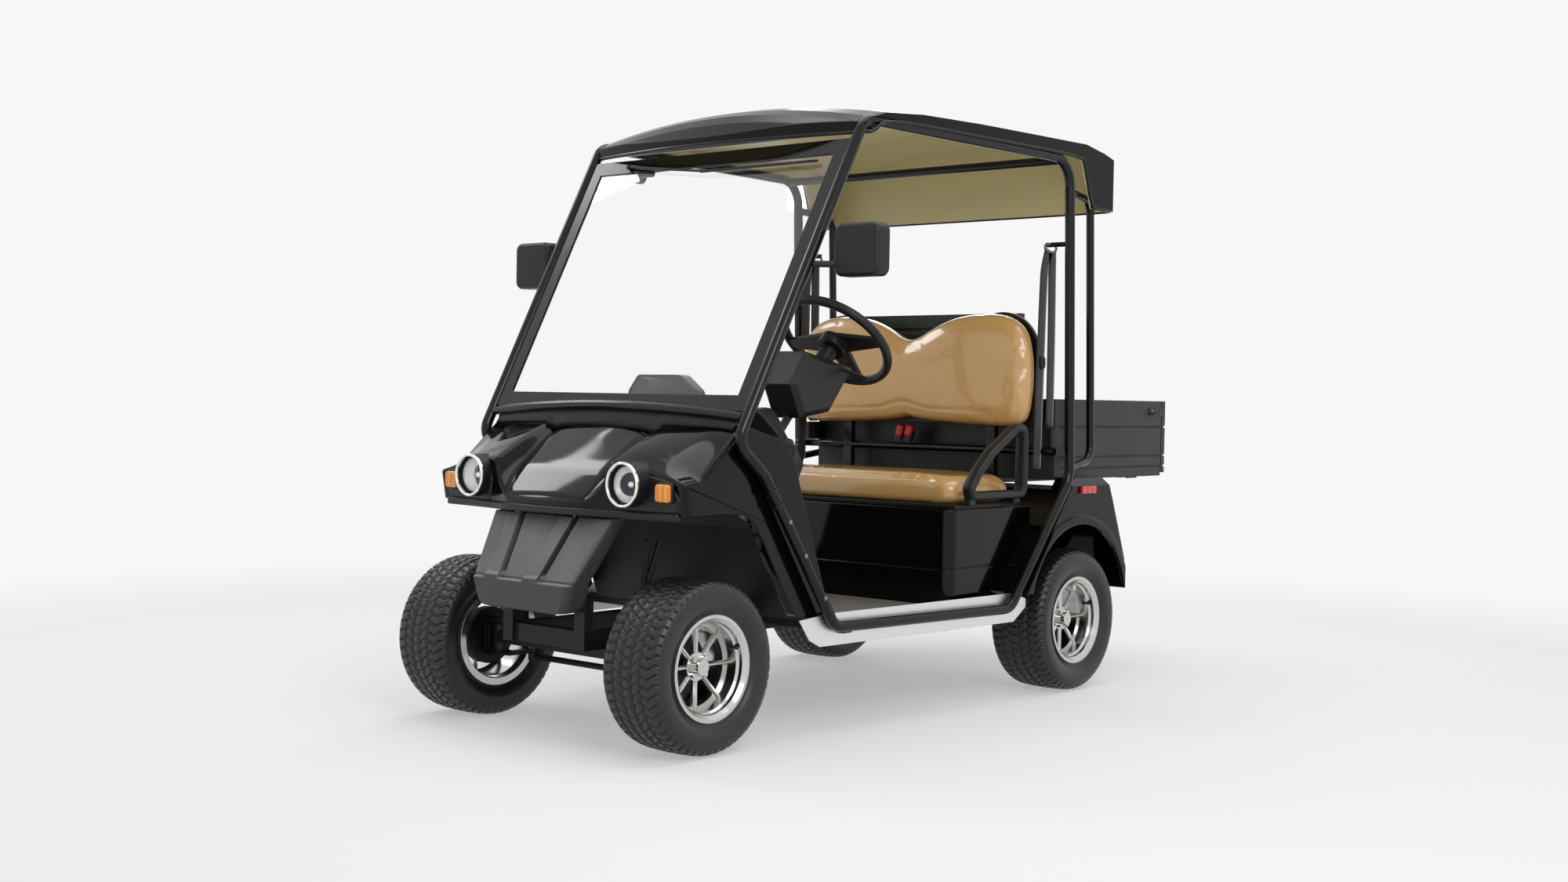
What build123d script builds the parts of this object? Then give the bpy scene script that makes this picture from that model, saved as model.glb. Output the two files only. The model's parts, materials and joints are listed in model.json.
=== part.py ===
from build123d import *
import math
import os

# Electric two-seat utility cart with a roof, a folding windshield frame, a bench seat and a cargo box.
# Lengths are in millimetres. The model is drawn with the front axle over y = 0, +Y to the rear,
# +X to the vehicle's left and the ground at z = 0. Each piece is then moved so that y = 0 is mid length.

# Wheels and axles
WHEELBASE = 1650.0
FRONT_TRACK = 850.0
REAR_TRACK = 970.0
TYRE_RADIUS = 229.5
TYRE_WIDTH = 205.0
TYRE_SHOULDER = 26.0
RIM_RADIUS = 127.0
RIM_FLANGE_RADIUS = 140.5
RIM_WIDTH = 178.0
RIM_WALL = 6.0
DISH_DEPTH = 58.0
SPOKE_COUNT = 8
SPOKE_WIDTH = 14.0
SPOKE_THICK = 14.0
SPOKE_RING_RADIUS = 106.0
LIP_STEP = 9.0
LIP_DEPTH = 20.0
HUB_RADIUS = 38.0
HUB_THICK = 18.0
CAP_RADIUS = 21.0
CAP_LENGTH = 24.0
LUG_COUNT = 4
LUG_RADIUS = 7.0
LUG_HEIGHT = 14.0
LUG_CIRCLE = 29.5
SPINDLE_RADIUS = 14.0
RUNNING_GAP = 0.05
SEAT_GAP = 0.3
MOVE_GAP = 5.0
OVERRUN = 60.0

# Steering knuckles and the front axle
KINGPIN_X = 330.0
KINGPIN_RADIUS = 15.0
SLEEVE_RADIUS = 24.0
SLEEVE_HALF = 38.0
FORK_THICK = 14.0
FORK_DEPTH = 40.0
DRUM_RADIUS = 82.0
DRUM_THICK = 30.0
STEER_ARM = 100.0
STEER_ARM_INSET = 28.0
STEER_ARM_THICK = 12.0
STEER_ARM_WIDTH = 22.0
BEAM_HEIGHT = 34.0
BEAM_DEPTH = 44.0
STRUT_TOP = (262.0, 5.0, 545.0)
STRUT_FOOT_X = 232.0
STRUT_RADIUS = 19.0
STRUT_ROD_RADIUS = 9.0
LINK_OFFSET = 46.0
TIE_ROD_RADIUS = 9.0
TIE_ROD_EYE = 15.0
TIE_ROD_EYE_HALF = 11.0

# Chassis rails, floor and sills
RAIL_X = 145.0
RAIL_WIDTH = 40.0
RAIL_HEIGHT = 50.0
RAIL_FRONT_Y = -120.0
RAIL_REAR_Y = 1900.0
RAIL_KICK_FRONT_Y = 1490.0
RAIL_KICK_REAR_Y = 1580.0
RAIL_KICK = 90.0
CROSS_DEPTH = 40.0
FLOOR_HALF = 500.0
FLOOR_Z = 300.0
FLOOR_THICK = 10.0
FLOOR_FRONT_Y = 505.0
FLOOR_REAR_Y = 1034.0
TOE_TOP_Y = 400.0
TOE_TOP_Z = 560.0
TOE_HEAD_Y = 352.0
TRIM_THICK = 3.0
TRIM_STEP = 42.0
TRIM_LOW_Z = 247.0
TRIM_TOP_Z = 337.0
TRIM_FRONT = (345.0, 326.0)
TRIM_REAR = (1390.0, 315.0)

# Side hoops: one bent tube loop on each side, splayed outwards to the rear
HOOP_RADIUS = 16.0
HOOP_FRONT_X = 512.0
HOOP_SPLAY_SHARE = 0.038
PILLAR_BASE = (76.0, 812.0)
PILLAR_KNEE = (180.0, 728.0)
PILLAR_TOP = (556.0, 1716.0)
HOOP_REAR_TOP = (1557.0, 1708.0)
HOOP_REAR_FOOT = (1592.0, 690.0)
SILL_REAR = (1285.0, 293.0)
SILL_FRONT = (472.0, 300.0)
BASE_BEND = 50.0
KNEE_BEND = 150.0
TOP_BEND = 60.0
REAR_TOP_BEND = 90.0
FOOT_BEND = 110.0
SILL_BEND = 60.0
LOOP_RADIUS = 13.0
LOOP_HALF = 547.0
LOOP_TOP_Y = 1722.0
LOOP_TOP_Z = 1592.0
LOOP_FOOT_Y = 1756.0
LOOP_FOOT_Z = 748.0
LOOP_START_Z = 1606.0
LOOP_BEND = 55.0
CROSS_TUBE_RADIUS = 14.0
CROSS_FRONT_Y = 600.0
CROSS_REAR_Y = 1500.0
CROSS_TUBE_Z = 1700.0

# Windshield
GLASS_THICK = 5.0
GLASS_LOW_Z = 893.0
GLASS_TOP_Z = 1655.0
BAND_WIDTH = 42.0
BAND_THICK = 11.0
LOWER_RAIL_RADIUS = 13.0
LOWER_RAIL_Z = 879.0
LOWER_RAIL_BOW = 25.0
LOWER_RAIL_RISE = 25.0
WIPER_PIVOT_X = -347.0
WIPER_TIP_X = 410.0
WIPER_DROP = 38.0
WIPER_ROD_RADIUS = 4.0
WIPER_MOTOR_RADIUS = 24.0
WIPER_MOTOR_LENGTH = 90.0

# Front cowl, hood panel, lamps and bumper apron
COWL_HALF = 495.0
COWL_NOSE_Y = -143.0
COWL_REACH = 473.0
COWL_LIP_Z = 620.0
COWL_RISE = 248.0
COWL_WALL = 6.0
HOOD_RAISE = 4.0
HOOD_FRONT_HALF = 158.0
HOOD_REAR_HALF = 206.0
HOOD_FRONT_Y = -131.0
HOOD_REAR_Y = 62.0
HOOD_BOW = 16.0
LIP_HEIGHT = 22.0
LIP_PROUD = 8.0
SIDE_PANEL_THICK = 30.0
LAMP_X = 310.0
LAMP_Z = 700.0
LAMP_RADIUS = 52.0
LAMP_FRONT_Y = -136.0
BUCKET_RADIUS = 60.0
BUCKET_DEPTH = 92.0
DRUM_WALL = 5.0
BOWL_DEPTH = 58.0
LENS_DOME = 14.0
LENS_THICK = 6.0
INDICATOR_X = 427.0
INDICATOR_Z = 682.0
INDICATOR_RADIUS = 26.0
INDICATOR_FRONT_Y = -112.0
INDICATOR_DEPTH = 52.0
APRON_TOP_HALF = 238.0
APRON_MID_HALF = 201.0
APRON_LOW_HALF = 172.0
APRON_TOP_Z = 604.0
APRON_MID_Z = 439.0
APRON_LOW_Z = 352.0
APRON_TOP_Y = -108.0
APRON_MID_Y = -216.0
APRON_LOW_Y = -205.0
APRON_DEPTH = 34.0
APRON_SWEEP = 40.0
APRON_CORNER = 46.0
APRON_PROUD = 8.0
GROOVE_TOP = (108.0, -62.0, 612.0)
GROOVE_FOOT = (80.0, -184.0, 446.0)
GROOVE_WIDTH = 13.0
STEP_HEIGHT = 12.0

# Dash, steering column, steering wheel and pedals
DASH_FRONT_Y = 331.0
DASH_REAR_Y = 455.0
DASH_TOP_Z = 905.0
DASH_LOW_Z = 640.0
POD_LOW_X = -167.0
POD_HIGH_X = 123.0
POD_TOP_Z = 995.0
DRIVER_X = 270.0
WHEEL_Y = 763.0
WHEEL_Z = 1104.0
COLUMN_TILT = 42.2
STEER_RIM_RADIUS = 172.0
STEER_TUBE_RADIUS = 14.0
STEER_HUB_RADIUS = 44.0
STEER_HUB_THICK = 34.0
SPOKE_ROOT_HALF = 40.0
SPOKE_TIP_HALF = 16.0
STEER_SPOKE_THICK = 12.0
COLUMN_RADIUS = 12.0
SHROUD_SIDE = [(568.0, 1068.0), (784.0, 1023.0), (679.0, 894.0), (549.0, 875.0), (502.0, 972.0)]
SHROUD_HALF = 64.0
SHROUD_CHAMFER = 15.0
COLLAR_RADIUS = 27.0
COLLAR_LENGTH = 90.0
STALK_RADIUS = 5.0
STALK_LENGTH = 150.0
COLUMN_LENGTH = 520.0
PEDAL_WIDTH = 60.0
PEDAL_HEIGHT = 80.0
PEDAL_THICK = 8.0
PEDAL_Y = 495.0
PEDAL_ARM_RADIUS = 7.0
PEDAL_PIVOT_Y = 385.0
PEDAL_Z = 420.0
BRAKE_X = 225.0
THROTTLE_X = 330.0

# Roof
ROOF_HALF_FRONT = 548.0
ROOF_HALF_REAR = 598.0
ROOF_FRONT_Y = 462.0
ROOF_CORNER_Y = 540.0
ROOF_REAR_Y = 1780.0
ROOF_LIP_Z = 1674.0
ROOF_EDGE_Z = 1722.0
ROOF_SKIRT_Z = 1560.0
ROOF_SKIN = 5.0
LINER_SKIN = 4.0
ROOF_LOFT_HALF = 660.0
ROOF_BEAD_RADIUS = 9.0

# Seat base, cushions and armrests
SEAT_HALF = 500.0
SEAT_BASE_FRONT_Y = 1042.0
SEAT_BASE_REAR_Y = 1478.0
SEAT_BASE_HEEL = (1345.0, 520.0)
SEAT_BASE_TOP_Z = 603.0
SEAT_BASE_WALL = 5.0
SEAT_BASE_CORNER = 38.0
CREASE_Z = 420.0
CREASE_HEIGHT = 5.0
CREASE_DEPTH = 2.0
BATTERY_HALF = 330.0
BATTERY_FRONT_Y = 1075.0
BATTERY_REAR_Y = 1330.0
BATTERY_HEIGHT = 262.0
SEAT_BOARD_THICK = 12.0
CUSHION_FRONT_Y = 1078.0
CUSHION_REAR_Y = 1432.0
CUSHION_HALF = 494.0
CUSHION_THICK = 88.0
CUSHION_CORNER = 24.0
SEAT_HINGE_GAP = 14.0
HINGE_PIN_RADIUS = 5.0
HINGE_LUG_RADIUS = 8.0
HINGE_LUG_WIDTH = 30.0
HINGE_EAR_WIDTH = 8.0
SEAT_HINGE_X = 300.0
BACK_FRONT_Y = 1440.0
BACK_THICK = 78.0
BACK_LEAN = 4.0
BACK_LOW_Z = 857.0
BACK_HIGH_Z = 1236.0
BACK_NOTCH_Z = 1141.0
BACK_HALF = 482.0
BACK_SHELL_THICK = 14.0
POST_X = 302.0
POST_WIDTH = 34.0
POST_TOP_RISE = 190.0
POST_DEPTH = 22.0
CROSS_BAR_Z = 775.0
CROSS_BAR_RADIUS = 12.0
ARM_X = 524.0
ARM_WIDTH = 44.0
ARM_EDGE = 5.0
ARM_FOOT_YS = (1100.0, 1345.0)
ARM_FOOT = 38.0
ARM_LOW_Z = 632.0
ARM_OUTSIDE = [(1084.0, 632.0), (1090.0, 664.0), ((1204.0, 781.0), (1346.0, 866.0)),
               ((1386.0, 862.0), (1402.0, 824.0)),
               (1399.0, 650.0), (1386.0, 632.0)]
ARM_INSIDE = [(1122.0, 658.0), ((1221.0, 761.0), (1350.0, 840.0)), ((1370.0, 836.0), (1376.0, 818.0)),
              (1373.0, 658.0)]

# Belts
BELT_X = 500.0
BELT_WIDTH = 46.0
BELT_THICK = 3.0
BELT_POST_Y = 1576.0
BELT_TOP_Z = 1433.0
BELT_ANCHOR_RADIUS = 8.0
RETRACTOR_SIZE = 62.0
BUCKLE_X = 12.0
BUCKLE_WIDTH = 28.0
BUCKLE_HEIGHT = 60.0
BUCKLE_THICK = 16.0

# Mirrors
MIRROR_Y = 400.0
MIRROR_INNER_X = 579.0
MIRROR_OUTER_X = 732.0
MIRROR_LOW_Z = 1262.0
MIRROR_TOP_Z = 1406.0
MIRROR_DEPTH = 52.0
MIRROR_CORNER = 24.0
MIRROR_GLASS_THICK = 4.0
MIRROR_ARM_RADIUS = 9.0
MIRROR_ROOT_Z = 1296.0

# Rear body, lamps and bumper
BODY_HALF = 580.0
BODY_WALL = 6.0
BODY_FRONT_LOW = (1345.0, 335.0)
BODY_TOP_FRONT_Y = 1616.0
BODY_TOP_Z = 690.0
BODY_TOP_REAR_Y = 1815.0
BODY_SHOULDER = (1853.0, 607.0)
BODY_REAR_Y = 1932.0
BODY_REAR_TOP_Z = 415.0
BODY_REAR_LOW_Z = 316.0
DECK_HALF = 506.0
DECK_Z = 652.0
ARCH_RADIUS = 285.0
ARCH_Z = 256.0
TAIL_LAMP_Y = 1645.0
TAIL_LAMP_Z = 640.0
TAIL_LAMP_LENGTH = 86.0
TAIL_LAMP_HEIGHT = 24.0
TAIL_LAMP_THICK = 9.0
BODY_CHAMFER = 26.0
FLARE_WIDTH = 26.0
FLARE_PROUD = 6.0
BUMPER_HALF = 540.0
BUMPER_HEIGHT = 84.0
BUMPER_DEPTH = 30.0

# Cargo box
BOX_HALF = 500.0
BOX_FRONT_Y = 1612.0
BOX_REAR_Y = 2326.0
BOX_LOW_Z = 682.0
BOX_TOP_Z = 944.0
BOX_WALL = 22.0
HEAD_HALF = 360.0
HEAD_TOP_Z = 1225.0
GATE_GAP = 6.0
GATE_HINGE_OUT = 5.0
GATE_HINGE_DROP = 12.0
GATE_HINGE_X = 360.0
BOX_GROOVE_ZS = (713.0, 750.0, 850.0)
BOX_GROOVE_HEIGHT = 7.0
BOX_GROOVE_DEPTH = 5.0
HEAD_GROOVE_ZS = (985.0, 1030.0, 1075.0, 1120.0, 1165.0)
LATCH_LENGTH = 84.0
LATCH_HEIGHT = 26.0
LATCH_THICK = 5.0
BED_RAIL_X = 125.0
BED_RAIL_WIDTH = 40.0
BED_RAIL_REAR_Y = 2290.0

# Rear axle, motor and springs
AXLE_TUBE_RADIUS = 28.0
DIFF_RADIUS = 88.0
MOTOR_RADIUS = 92.0
MOTOR_LENGTH = 230.0
SPRING_WIDTH = 50.0
SPRING_THICK = 14.0
SPRING_HALF = 230.0
HANGER_DEPTH = 22.0
DECK_POST_YS = (1640.0, 1770.0)
SPRING_DROP = 30.0

# Places that follow from the sizes above
ORIGIN_SHIFT = (TYRE_RADIUS - BOX_REAR_Y - GATE_HINGE_OUT - HINGE_LUG_RADIUS) / 2
RAIL_TOP_Z = FLOOR_Z - SEAT_GAP
BEAM_Z = RAIL_TOP_Z - RAIL_HEIGHT - SEAT_GAP - BEAM_HEIGHT / 2
DASH_HALF = COWL_HALF - SIDE_PANEL_THICK - SEAT_GAP
SEAT_BASE_LOW_Z = FLOOR_Z
SEAT_HINGE_Y = CUSHION_REAR_Y + SEAT_HINGE_GAP
SEAT_HINGE_Z = SEAT_BASE_TOP_Z + HINGE_LUG_RADIUS + SEAT_GAP
GATE_HINGE_Y = BOX_REAR_Y + GATE_HINGE_OUT
GATE_HINGE_Z = BOX_LOW_Z - GATE_HINGE_DROP / 2
POST_Y = BACK_FRONT_Y + BACK_THICK + BACK_SHELL_THICK + 2 * SEAT_GAP
BUCKLE_Z = CROSS_BAR_Z + CROSS_BAR_RADIUS + SEAT_GAP
RETRACTOR_Z = CROSS_BAR_Z + CROSS_BAR_RADIUS + 2 * SEAT_GAP + RETRACTOR_SIZE
SPRING_X = RAIL_X + RAIL_WIDTH / 2 + MOVE_GAP + SPRING_WIDTH / 2


def outline(points):
    """Closed edges through the points. A pair of points stands for an arc's middle and its end."""
    edges = []
    here = points[0]
    for item in points[1:] + [points[0]]:
        if isinstance(item[0], tuple):
            edges.append(ThreePointArc(here, item[0], item[1]))
            here = item[1]
        else:
            edges.append(Line(here, item))
            here = item
    return edges


def prism_x(points, low, high):
    """An outline in (y, z) carried from x = low to x = high."""
    return extrude(Plane.YZ.offset(low) * make_face(outline(points)), amount=high - low)


def prism_y(points, low, high):
    """An outline in (x, z) carried from y = low to y = high."""
    return extrude(Plane.XZ.offset(-high) * make_face(outline(points)), amount=high - low)


def prism_z(points, low, high):
    """An outline in (x, y) carried from z = low to z = high."""
    return extrude(Plane.XY.offset(low) * make_face(outline(points)), amount=high - low)


def block(x_low, x_high, y_low, y_high, z_low, z_high):
    """A box between two corners."""
    size = (x_high - x_low, y_high - y_low, z_high - z_low)
    centre = ((x_high + x_low) / 2, (y_high + y_low) / 2, (z_high + z_low) / 2)
    return Pos(*centre) * Box(*size)


def rod(start, end, radius):
    """A round bar from one point to another."""
    run = Vector(*end) - Vector(*start)
    return extrude(Plane(origin=start, z_dir=run) * Circle(radius), amount=run.length)


def tube(points, radius, bends):
    """A round bar bent along straight runs and tangent arcs."""
    path = FilletPolyline(*points, radius=bends)
    return sweep(Plane(origin=path @ 0, z_dir=path % 0) * Circle(radius), path=path)


def both(shape):
    """A left-hand shape and its mirror image, as solids that don't touch."""
    return Compound(children=shape.solids() + mirror(shape, about=Plane.YZ).solids())


def lug(x, y, z, width, radius):
    """A hinge lug on a line along X: a round eye with its bore, centred on x."""
    eye = rod((x - width / 2, y, z), (x + width / 2, y, z), radius)
    return eye


def hinge_bore(x, y, z):
    half = HINGE_LUG_WIDTH + HINGE_EAR_WIDTH
    return rod((x - half, y, z), (x + half, y, z), HINGE_PIN_RADIUS + RUNNING_GAP)


def hinge_ears(x, y, z, y_far, low, high):
    """Two ears beside a lug, tied back to y_far, with the pin between them."""
    half = HINGE_LUG_WIDTH / 2 + MOVE_GAP / 10
    pin = rod((x - half - HINGE_EAR_WIDTH, y, z), (x + half + HINGE_EAR_WIDTH, y, z), HINGE_PIN_RADIUS)
    near = y + math.copysign(HINGE_LUG_RADIUS, y - y_far)
    for left in (x - half - HINGE_EAR_WIDTH, x + half):
        pin += block(left, left + HINGE_EAR_WIDTH, min(near, y_far), max(near, y_far), low, high)
    return pin


def hoop_x(y):
    """Half-width of the side hoops' centre line at a station."""
    return HOOP_FRONT_X + HOOP_SPLAY_SHARE * y


def hoop_point(place):
    return (hoop_x(place[0]), place[0], place[1])


def between(start, end, share):
    """The point that lies a share of the way from one point to the next."""
    return tuple(a + (b - a) * share for a, b in zip(start, end))


def hoop(radius):
    """The closed side loop, made of two halves that meet in the rail and in the sill."""
    rail_mid = between(PILLAR_TOP, HOOP_REAR_TOP, 0.5)
    sill_mid = between(SILL_FRONT, SILL_REAR, 0.5)
    front = [hoop_point(p) for p in (rail_mid, PILLAR_TOP, PILLAR_BASE, PILLAR_KNEE, SILL_FRONT, sill_mid)]
    rear = [hoop_point(p) for p in (rail_mid, HOOP_REAR_TOP, HOOP_REAR_FOOT, SILL_REAR, sill_mid)]
    front_half = tube(front, radius, [TOP_BEND, BASE_BEND, KNEE_BEND, SILL_BEND])
    return front_half + tube(rear, radius, [REAR_TOP_BEND, FOOT_BEND, SILL_BEND])


def rear_loop(radius):
    """The second upright, which leaves the hoop below the roof and comes back above the body."""
    start = hoop_point((HOOP_REAR_TOP[0], LOOP_START_Z))
    top = (LOOP_HALF, LOOP_TOP_Y, LOOP_TOP_Z)
    foot = (LOOP_HALF, LOOP_FOOT_Y, LOOP_FOOT_Z)
    end = hoop_point((HOOP_REAR_FOOT[0], LOOP_FOOT_Z - 2 * radius))
    return tube([start, top, foot, end], radius, LOOP_BEND)


def side_frame():
    """Hoop and rear loop in one, with the short arm that the belt hangs from."""
    z = BELT_TOP_Z + BELT_ANCHOR_RADIUS + SEAT_GAP
    arm = rod((BELT_X - BELT_WIDTH / 2, BELT_POST_Y, z), (hoop_x(BELT_POST_Y), BELT_POST_Y, z),
              BELT_ANCHOR_RADIUS)
    return hoop(HOOP_RADIUS) + rear_loop(LOOP_RADIUS) + arm


# The windshield lies along the pillars: a point on it follows from its height
def pillar_y(z):
    share = (z - PILLAR_BASE[1]) / (PILLAR_TOP[1] - PILLAR_BASE[1])
    return PILLAR_BASE[0] + (PILLAR_TOP[0] - PILLAR_BASE[0]) * share


def shield_plate(inset, low_z, top_z, near, far):
    """A plate between the pillars, from a depth near to a depth far behind their centre plane."""
    corners = []
    for z in (low_z, top_z):
        half = hoop_x(pillar_y(z)) - HOOP_RADIUS - SEAT_GAP - inset
        corners.append((half, pillar_y(z), z))
    (low_half, low_y, low), (top_half, top_y, top) = corners
    run = Vector(0, top_y - low_y, top - low)
    plane = Plane(origin=(0, low_y, low), x_dir=(1, 0, 0), z_dir=Vector(1, 0, 0).cross(run))
    length = run.length
    points = [(-low_half, 0), (low_half, 0), (top_half, length), (-top_half, length)]
    return extrude(plane.offset(-far) * make_face(outline(points)), amount=far - near)


def windshield_glass():
    half = GLASS_THICK / 2
    inset = BAND_WIDTH / 2
    return shield_plate(inset, GLASS_LOW_Z + inset, GLASS_TOP_Z - inset, -half, half)


def windshield_frame():
    """The dark band round the glass, grooved to hold it, with the bowed rail below."""
    half = BAND_THICK / 2
    ring = shield_plate(0, GLASS_LOW_Z, GLASS_TOP_Z, -half, half)
    ring -= shield_plate(BAND_WIDTH, GLASS_LOW_Z + BAND_WIDTH, GLASS_TOP_Z - BAND_WIDTH, -OVERRUN, OVERRUN)
    groove = GLASS_THICK / 2 + SEAT_GAP
    inset = BAND_WIDTH / 2 - SEAT_GAP
    ring -= shield_plate(inset, GLASS_LOW_Z + inset, GLASS_TOP_Z - inset, -groove, groove)
    return ring


def lower_rail():
    y = pillar_y(LOWER_RAIL_Z)
    half = hoop_x(y) - HOOP_RADIUS - SEAT_GAP
    middle = (0, y - LOWER_RAIL_BOW, LOWER_RAIL_Z + LOWER_RAIL_RISE)
    path = ThreePointArc((-half, y, LOWER_RAIL_Z), middle, (half, y, LOWER_RAIL_Z))
    rail = sweep(Plane(origin=path @ 0, z_dir=path % 0) * Circle(LOWER_RAIL_RADIUS), path=path)
    for envelope in hoop_envelopes():
        rail -= envelope
    return max(rail.solids(), key=lambda solid: solid.volume)


def wiper():
    """Motor housing behind the glass top, shaft through the band, arm and blade in front."""
    z = GLASS_TOP_Z - BAND_WIDTH / 2
    ahead = BAND_THICK + WIPER_ROD_RADIUS
    pivot = (WIPER_PIVOT_X, pillar_y(z) - ahead, z)
    low = z - WIPER_DROP
    elbow = (0, pillar_y(low) - ahead - WIPER_ROD_RADIUS, low)
    tip = (WIPER_TIP_X, pillar_y(low) - ahead - WIPER_ROD_RADIUS, low)
    arm = tube([pivot, elbow, tip], WIPER_ROD_RADIUS, BAND_WIDTH)
    return arm + (Pos(*pivot) * Sphere(WIPER_ROD_RADIUS * 2))


def wiper_motor():
    z = GLASS_TOP_Z - BAND_WIDTH / 2
    front = (WIPER_PIVOT_X, pillar_y(z) - BAND_WIDTH / 2, z - WIPER_MOTOR_RADIUS)
    back = (WIPER_PIVOT_X, pillar_y(z) + BAND_WIDTH, front[2])
    body = rod(front, back, WIPER_MOTOR_RADIUS)
    side = (WIPER_PIVOT_X + WIPER_MOTOR_LENGTH, front[1] + BAND_WIDTH / 2, front[2])
    body += rod((WIPER_PIVOT_X, side[1], side[2]), side, WIPER_MOTOR_RADIUS / 2)
    return body - shield_plate(-OVERRUN, GLASS_LOW_Z, GLASS_TOP_Z + OVERRUN, -OVERRUN,
                               BAND_THICK / 2 + SEAT_GAP)


# Cowl corners at six stations out from the centre: the x share, then the lip, the nose,
# the brow, the windshield base, the back's top and its foot as (y share, z share).
COWL_SHARES = [
    (0.0, [(0.013, 0.01), (0.0, 0.09), (0.155, 0.415), (0.503, 0.965), (1.0, 0.965), (1.0, 0.06)]),
    (0.303, [(0.027, 0.01), (0.019, 0.11), (0.163, 0.42), (0.5, 0.93), (1.0, 0.93), (1.0, 0.06)]),
    (0.416, [(0.053, 0.01), (0.05, 0.3), (0.228, 0.5), (0.514, 0.9), (1.0, 0.9), (1.0, 0.06)]),
    (0.475, [(0.066, 0.01), (0.068, 0.53), (0.26, 0.74), (0.54, 1.0), (1.0, 1.0), (1.0, 0.06)]),
    (0.78, [(0.108, 0.012), (0.104, 0.44), (0.197, 0.5), (0.545, 0.99), (1.0, 0.9), (1.0, 0.06)]),
    (1.0, [(0.129, 0.02), (0.095, 0.347), (0.218, 0.363), (0.567, 0.98), (1.0, 0.745), (1.0, 0.06)]),
]


def cowl_body(back, down, in_by, over):
    """A loft across the vehicle through the cowl's outlines, moved back, down and in."""
    sections = []
    table = [(-share, row) for share, row in COWL_SHARES[:0:-1]] + COWL_SHARES
    for x_share, row in table:
        points = []
        for number, (y_share, z_share) in enumerate(row):
            y = COWL_NOSE_Y + COWL_REACH * y_share + back
            z = COWL_LIP_Z + COWL_RISE * z_share - down
            if number in (0, 5):
                z -= over
            if number in (4, 5):
                y += over
            points.append((y, z))
        half = COWL_HALF - in_by
        sections.append(Plane.YZ.offset(half * x_share) * make_face(outline(points)))
    return loft(sections, ruled=True)


# The side panel behind the wheel arch, as (y share of the wheelbase, z share of the rail height)
SIDE_PANEL_SHARES = [
    (0.085, 0.486), (0.155, 0.488), (0.186, 0.475), (0.2255, 0.367), (0.252, 0.3), (0.293, 0.198),
    (0.262, 0.186), (0.2055, 0.197), (0.122, 0.33), (0.085, 0.36),
]


def side_panel():
    points = [(WHEELBASE * y, PILLAR_TOP[1] * z) for y, z in SIDE_PANEL_SHARES]
    outer = prism_x(points, COWL_HALF - SIDE_PANEL_THICK, COWL_HALF)
    return outer - cowl_body(0, 0, 0, 0)


def lamp_bore(x, z, radius, front, depth):
    return rod((x, front - OVERRUN, z), (x, front + depth, z), radius)


def front_cowl():
    shell = cowl_body(0, 0, 0, 0) - cowl_body(COWL_WALL, COWL_WALL, COWL_WALL, OVERRUN)
    panel = side_panel()
    shell = shell + panel + mirror(panel, about=Plane.YZ) + cowl_lip()
    for x in (-LAMP_X, LAMP_X):
        shell -= lamp_bore(x, LAMP_Z, BUCKET_RADIUS + SEAT_GAP, LAMP_FRONT_Y, BUCKET_DEPTH + OVERRUN)
    for x in (-INDICATOR_X, INDICATOR_X):
        bore = INDICATOR_RADIUS + SEAT_GAP
        shell -= lamp_bore(x, INDICATOR_Z, bore, INDICATOR_FRONT_Y, INDICATOR_DEPTH + OVERRUN)
    return shell


def cowl_lip():
    """The folded flange under the nose: a bar that follows the lip's corners between the outer pods."""
    sections = []
    right = [(-share, row[0]) for share, row in COWL_SHARES[4:0:-1]]
    left = [(share, row[0]) for share, row in COWL_SHARES[:5]]
    for x_share, (y_share, _) in right + left:
        y = COWL_NOSE_Y + COWL_REACH * y_share
        low, far = COWL_LIP_Z - LIP_HEIGHT / 2, y + LIP_HEIGHT
        corners = [(y - LIP_PROUD, low), (far, low), (far, low + LIP_HEIGHT),
                   (y - LIP_PROUD, low + LIP_HEIGHT)]
        sections.append(Plane.YZ.offset(COWL_HALF * x_share) * make_face(outline(corners)))
    return loft(sections, ruled=True)


def hood_panel():
    """The hood panel: a thin plate that follows the cowl's own surface, with a bowed upper edge."""
    raised = cowl_body(-HOOD_RAISE, -HOOD_RAISE, 0, 0) - cowl_body(-SEAT_GAP, -SEAT_GAP, 0, OVERRUN)
    front, rear = HOOD_FRONT_HALF, HOOD_REAR_HALF
    plan = [(-front, HOOD_FRONT_Y), (front, HOOD_FRONT_Y), (rear, HOOD_REAR_Y),
            ((0, HOOD_REAR_Y + HOOD_BOW), (-rear, HOOD_REAR_Y))]
    return raised & prism_z(plan, COWL_LIP_Z + LIP_HEIGHT, COWL_LIP_Z + COWL_RISE * 2)


def lamp_bucket():
    """The drum behind the lens: a closed back and an open bowl in front."""
    body = rod((LAMP_X, LAMP_FRONT_Y, LAMP_Z), (LAMP_X, LAMP_FRONT_Y + BUCKET_DEPTH, LAMP_Z), BUCKET_RADIUS)
    body -= lamp_bore(LAMP_X, LAMP_Z, LAMP_RADIUS + SEAT_GAP, LAMP_FRONT_Y, LENS_DOME)
    return body - lamp_bore(LAMP_X, LAMP_Z, LAMP_RADIUS - DRUM_WALL, LAMP_FRONT_Y, BOWL_DEPTH)


def lamp_ring():
    """A bright bezel with a half-round front."""
    back = LAMP_FRONT_Y - SEAT_GAP
    bead = (BUCKET_RADIUS - LAMP_RADIUS) / 2
    points = [(LAMP_RADIUS, back), (BUCKET_RADIUS, back), (BUCKET_RADIUS, back - bead),
              ((LAMP_RADIUS + bead, back - 2 * bead), (LAMP_RADIUS, back - bead))]
    return Pos(LAMP_X, 0, LAMP_Z) * revolve(make_face(outline(points)), Axis.Y)


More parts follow.
